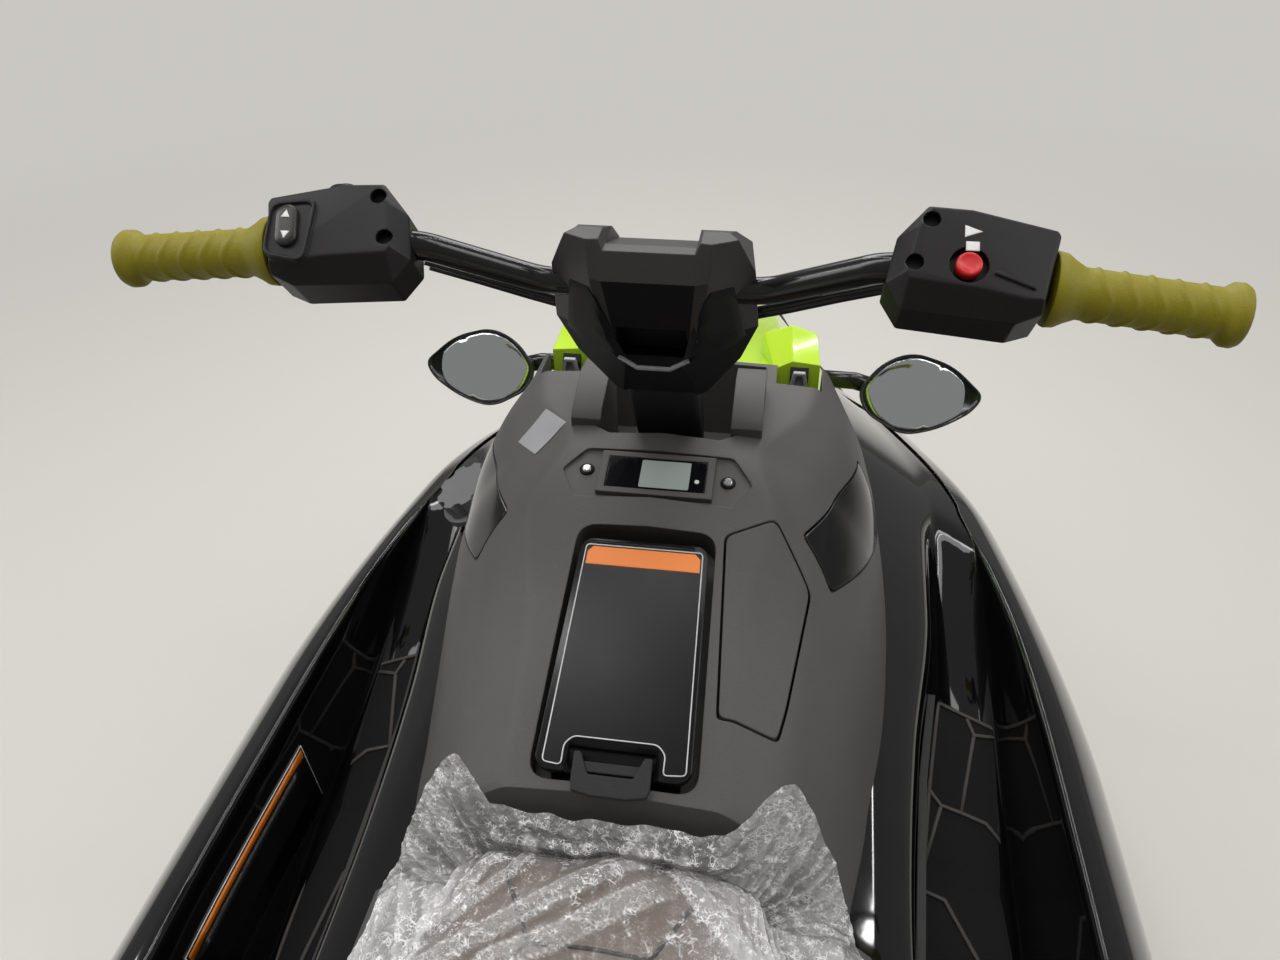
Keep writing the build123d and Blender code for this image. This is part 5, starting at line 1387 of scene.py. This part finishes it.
# The forms start a little inside the CAD cushions, with rounded ends, and swell by no more than the cap
SEAT_SHRINK, SEAT_STEP = 0.0035, 0.01
SEAT_END, SEAT_END_ROUND = 0.014, 0.005
SEAT_VOXEL, SEAT_PRESSURE, SEAT_CAP = 0.0055, 4.0, 0.011
SEAT_GAP = 0.0005
# Seams of the cushions, mirrored to port: across, along
SEAT_SEAMS = [
    [(0.000, -0.094), (0.046, -0.094), (0.062, -0.112), (0.092, -0.22), (0.096, -0.40), (0.086, -0.575)],
    [(0.046, -0.094), (0.074, -0.045), (0.082, -0.014)],
    [(0.000, -0.33), (0.070, -0.33), (0.096, -0.36)],
    [(0.086, -0.61), (0.096, -0.75), (0.094, -0.95), (0.070, -1.06), (0.000, -1.075)],
    [(0.000, -0.80), (0.070, -0.80), (0.096, -0.77)],
]
SEAM_R, SEAM_LIFT = 0.0017, 0.0003


def seat_ring(rows, y, shrink):
    half, edge_z, crown_z = along_rows(rows, y)
    low = SEAT_BASE_Z + 0.002
    corners = [
        (0, low, 0), (half + 0.010 - shrink, low, 0.012), (half + 0.012 - shrink, edge_z - 0.018, 0.02),
        (half - 0.012 - shrink, edge_z + 0.016 - shrink, 0.022), (0, crown_z - shrink, 0),
    ]
    return mirrored(rounded(corners, 4, 3), y)


def puff(obj, voxel, pressure, cap, frames=20):
    """Swells a closed form into a cushion with a cloth simulation, moving no point further than the cap."""
    modify(obj, "REMESH", mode="VOXEL", voxel_size=voxel)
    start = [v.co.copy() for v in obj.data.vertices]
    cloth = obj.modifiers.new("cloth", "CLOTH")
    cloth.settings.use_pressure = True
    cloth.settings.uniform_pressure_force = pressure
    cloth.settings.tension_stiffness = cloth.settings.compression_stiffness = 18
    cloth.settings.bending_stiffness = 0.6
    cloth.settings.effector_weights.gravity = 0.0
    cloth.settings.quality = 5
    cloth.point_cache.frame_start, cloth.point_cache.frame_end = 1, frames
    scene = bpy.context.scene
    for k in range(1, frames + 1):
        scene.frame_set(k)
    apply_modifiers(obj)
    for v, rest in zip(obj.data.vertices, start):
        move = v.co - rest
        if move.length > cap:
            v.co = rest + move.normalized() * cap
    scene.frame_set(1)


def make_seats():
    for end, rows in (("front", SEAT_FRONT_ROWS), ("rear", SEAT_REAR_ROWS)):
        low, high = rows[0][0] + SEAT_SHRINK, rows[-1][0] - SEAT_SHRINK
        count = round((high - low) / SEAT_STEP)
        rings = []
        for y in (lerp(low, high, k / count) for k in range(count + 1)):
            round_in = SEAT_END_ROUND * (1 - smoothstep(0, SEAT_END, min(y - low, high - y))) ** 2
            rings.append(seat_ring(rows, y, SEAT_SHRINK + round_in))
        cushion = skin_rings("cushion_" + end, rings, "seat_vinyl")
        puff(cushion, SEAT_VOXEL, SEAT_PRESSURE, SEAT_CAP)
        for v in cushion.data.vertices:
            v.co.z = max(v.co.z, SEAT_BASE_Z + 0.0004)
            v.co.y = min(max(v.co.y, rows[0][0] + SEAT_GAP), rows[-1][0] - SEAT_GAP)
        modify(cushion, "CORRECTIVE_SMOOTH", iterations=6, use_only_smooth=True)
        modify(cushion, "SUBSURF", levels=1, render_levels=1)
        cushion.data.polygons.foreach_set("use_smooth", [True] * len(cushion.data.polygons))
        place(cushion, "craft", "seat_vinyl", "seat_" + end)


def make_seams():
    """Piping along the cushions' seams, laid on them after they are swollen."""
    tree = surface_of("cushion_front", "cushion_rear")
    lines = []
    for side, _ in SIDES:
        for seam in SEAT_SEAMS:
            tops = [Vector((side * spot.x, spot.y, 1)) for spot in spaced(seam, 0.008)]
            hits = [tree.ray_cast(top, Vector((0, 0, -1)))[0] for top in tops]
            points = [hit + Vector((0, 0, SEAM_LIFT)) for hit in hits if hit]
            lines.append(tube("seam", points, SEAM_R, "seat_seam", 8))
    place(join("seat_seams", lines), "craft")


# Film over the seats

# The film's front edge, where it stands up behind the cowl: share across, x, y, z
FILM_FRONT = [
    (-1.0, -0.203, -0.012, 0.480), (-0.80, -0.181, 0.012, 0.545), (-0.66, -0.160, 0.018, 0.598),
    (-0.56, -0.139, 0.018, 0.640), (-0.48, -0.121, 0.014, 0.662), (-0.42, -0.107, 0.006, 0.640),
    (-0.35, -0.093, 0.000, 0.620), (-0.12, -0.032, -0.002, 0.6165), (0.12, 0.032, -0.002, 0.6185),
    (0.33, 0.086, -0.002, 0.6155), (0.41, 0.106, 0.002, 0.634), (0.48, 0.124, 0.012, 0.664),
    (0.53, 0.139, 0.016, 0.670), (0.60, 0.153, 0.018, 0.640), (0.72, 0.176, 0.012, 0.585),
    (1.0, 0.207, -0.012, 0.478),
]
# The film is laid out from an axis inside the seat, turning to each side, with a flap in front
FILM_AXIS_Z, FILM_TURN, FILM_PROBE = 0.46, radians(85), 0.5
FILM_COLUMNS, FILM_FLAP_ROWS = 216, 26
FILM_FRONT_Y, FILM_REAR_Y = -0.014, -1.112
# Rows are this far apart in front, and this far at the rear, changing between two stations
FILM_FINE_STEP, FILM_STEP, FILM_FINE_Y, FILM_COARSE_Y = 0.0026, 0.0056, -0.2, -0.45
FILM_PULLS = 60
# Heights of the film's lift: clear of the cushions, its ridges, large and small facets, and grain
FILM_CLEAR, FILM_RIDGE, FILM_LARGE, FILM_SMALL, FILM_GRAIN = 0.0022, 0.0045, 0.0024, 0.0016, 0.0007
# Long folds over the seat's top: points (x, y), half width, height
FILM_FOLDS = [
    ([(0.040, -0.008), (-0.045, -0.070), (-0.120, -0.122), (-0.165, -0.190)], 0.010, 0.011),
    ([(0.055, -0.034), (-0.022, -0.090), (-0.066, -0.112), (-0.110, -0.170)], 0.012, 0.008),
    ([(0.052, -0.013), (0.075, -0.045), (0.121, -0.087), (0.150, -0.160)], 0.011, 0.007),
    ([(-0.085, -0.012), (-0.105, -0.060), (-0.150, -0.110)], 0.008, 0.008),
    ([(-0.060, -0.010), (-0.070, -0.040), (-0.120, -0.090)], 0.006, 0.005),
    ([(0.020, -0.120), (-0.060, -0.170), (-0.120, -0.260)], 0.012, 0.006),
    ([(0.090, -0.150), (0.030, -0.230), (-0.030, -0.340)], 0.012, 0.006),
    ([(0.140, -0.240), (0.060, -0.380), (0.080, -0.500)], 0.012, 0.006),
    ([(-0.120, -0.330), (-0.040, -0.430), (0.050, -0.560)], 0.012, 0.006),
    ([(0.130, -0.600), (0.000, -0.700), (-0.120, -0.820)], 0.014, 0.006),
    ([(-0.130, -0.620), (-0.020, -0.800), (0.110, -0.900)], 0.014, 0.006),
    ([(-0.120, -0.900), (0.020, -1.000), (0.120, -1.060)], 0.012, 0.006),
]
# A fold's foot and its milky band, as shares of its half width, and the width of the band's edge
FOLD_FOOT, FOLD_BAND, FOLD_EDGE = 2.2, 0.75, 0.0022


def fold_height(x, y):
    """How far the long folds lift the film over a place, and how milky they make it."""
    lift, band = 0.0, 0.0
    here = Vector((x, y))
    for points, half, height in FILM_FOLDS:
        best, share = 1.0, 0.0
        for k, (a, b) in enumerate(zip(points, points[1:])):
            a, b = Vector(a), Vector(b)
            along = min(max((here - a).dot(b - a) / (b - a).length_squared, 0), 1)
            off = (here - a.lerp(b, along)).length
            if off < best:
                best, share = off, (k + along) / (len(points) - 1)
        foot = half * FOLD_FOOT
        if best < foot:
            ends = min(1.0, share / 0.08, (1 - share) / 0.25)
            lift = max(lift, height * ends * max(0.0, 1 - (best / foot) ** 1.3) ** 1.5)
            edge = max(0.0, 1 - abs(best - half * FOLD_BAND) / FOLD_EDGE)
            inside = 0.4 if best < half * FOLD_BAND else 0.0
            band = max(band, min(1.0, share / 0.05, (1 - share) / 0.12) * (inside + 0.6 * edge))
    return lift, band


def crumple(point, scale):
    """A pattern of flat facets between sharp creases, from 0 to 1."""
    distances, _ = noise_kit.voronoi(point * scale)
    return min(1.0, (distances[1] - distances[0]) * 1.1)


def waves(*at):
    return noise_kit.noise(Vector(at))


def film_rows():
    """Stations along the seats, close together near the front."""
    rows, y = [], FILM_FRONT_Y
    while y > FILM_REAR_Y:
        rows.append(y)
        y -= lerp(FILM_FINE_STEP, FILM_STEP, smoothstep(-FILM_FINE_Y, -FILM_COARSE_Y, -y))
    return rows


def film_out(s, forward=0.0):
    """Direction away from the film's axis at a share of the way across it."""
    return Vector((sin(s * FILM_TURN), forward, cos(s * FILM_TURN)))


def film_reach(rows, columns):
    """Distances of the film from its axis: on the cushions, then pulled tight between their high places."""
    tree = surface_of("cushion_front", "cushion_rear", "seat_base")
    reach = []
    for axis in (Vector((0, y, FILM_AXIS_Z)) for y in rows):
        hits = [tree.ray_cast(axis + film_out(s) * FILM_PROBE, -film_out(s))[0] for s in columns]
        reach.append([(hit - axis).length if hit else 0.0 for hit in hits])
    for _ in range(FILM_PULLS):
        for line in reach:
            line[1:-1] = [max(b, (a + c) / 2) for a, b, c in zip(line, line[1:], line[2:])]
        for before, line, after in zip(reach, reach[1:], reach[2:]):
            line[:] = [max(b, (a + c) / 2) for a, b, c in zip(before, line, after)]
    return reach


def crumpled(point, s, y, out, slack):
    """A place of the film lifted by its ridges, facets and folds, and how milky it is there, the milkiness on
    its sides, flap and right front partly a painted reflection.
    """
    side = smoothstep(0.42, 0.62, abs(s))
    ridge = waves(s * 17 + 1.5 * waves(s * 3, y * 6, 6), y * 5.5, 3.0)
    ridge = (1 - abs(ridge) * 3.2) ** 2 if abs(ridge) < 0.31 else 0.0
    large = crumple(Vector((point.x, point.y * 0.6, point.z)), 34)
    small = crumple(Vector((point.y, point.x, point.z * 1.5)) + Vector((3, 1, 0)), 95)
    silver = smoothstep(0.02, 0.3, s - 0.16 + (y + 0.02) * 1.1) * (1 - smoothstep(0.2, 0.5, -y))
    crisp = max(side, silver, slack)
    fold, band = fold_height(point.x, y)
    lift = FILM_RIDGE * ridge * (0.2 + side) * (1 - 0.7 * slack) + FILM_LARGE * large * (0.12 + crisp)
    lift += FILM_SMALL * small * (0.2 + crisp) + fold * (1 - slack)
    lift += FILM_GRAIN * noise_kit.noise(point * 300) * (0.25 + crisp)
    # Milkiness: real along folds and ridges, and on the sides, flap and silvery right front partly a painted
    # reflection of the bright surroundings
    milky = min(1.0, 0.02 + 0.5 * crisp + 0.6 * ridge * (0.25 + side) + band * 0.85)
    return point + out * (lift + FILM_CLEAR), milky


def make_film():
    rows, columns = film_rows(), [lerp(-1, 1, c / FILM_COLUMNS) for c in range(FILM_COLUMNS + 1)]
    reach = film_reach(rows, columns)
    places = []
    for t in (r / FILM_FLAP_ROWS for r in range(FILM_FLAP_ROWS)):
        for s, near in zip(columns, reach[0]):
            foot = Vector((0, rows[0], FILM_AXIS_Z)) + film_out(s) * near
            edge = Vector(along_rows(FILM_FRONT, s))
            edge += Vector((0, 0.004 * waves(s * 9, 1, 1), 0.007 * waves(s * 14, 5, 2)))
            out = film_out(s, -0.8).normalized()
            bulge = 0.011 * sin(pi * t) * (0.4 + abs(waves(s * 7, t * 2, 8)))
            roll = 0.006 * max(0.0, 1 - abs(t - 0.72) / 0.2) * (1 - smoothstep(0.42, 0.5, abs(s)))
            point = edge.lerp(foot, t) + out * bulge + out * roll
            places.append(crumpled(point, s, point.y, out, 1.0 - 0.5 * t))
    for y, line in zip(rows, reach):
        slack = 0.5 * (1 - smoothstep(0.0, 0.03, rows[0] - y))
        for s, near in zip(columns, line):
            out = film_out(s)
            places.append(crumpled(Vector((0, y, FILM_AXIS_Z)) + out * near, s, y, out, slack))
    faces = grid_faces(FILM_FLAP_ROWS + len(rows), len(columns))
    film = new_object("film", [point for point, _ in places], faces, "film_clear", smooth=False)
    haze_and_painted_reflection = film.data.attributes.new("haze_and_painted_reflection", "FLOAT", "POINT")
    haze_and_painted_reflection.data.foreach_set("value", [milky for _, milky in places])
    place(film, "craft")


dress_nodes()
make_deck_shell()
make_cowl()
make_lid_marks()
make_hood_latch_details()
make_shoulder_plate()
make_mat_lines()
make_side_label()
make_mirrors()
make_grips()
make_pad()
make_housings()
make_display_details()
make_seats()
make_seams()
make_film()
make_camera()
make_world()
make_stage()
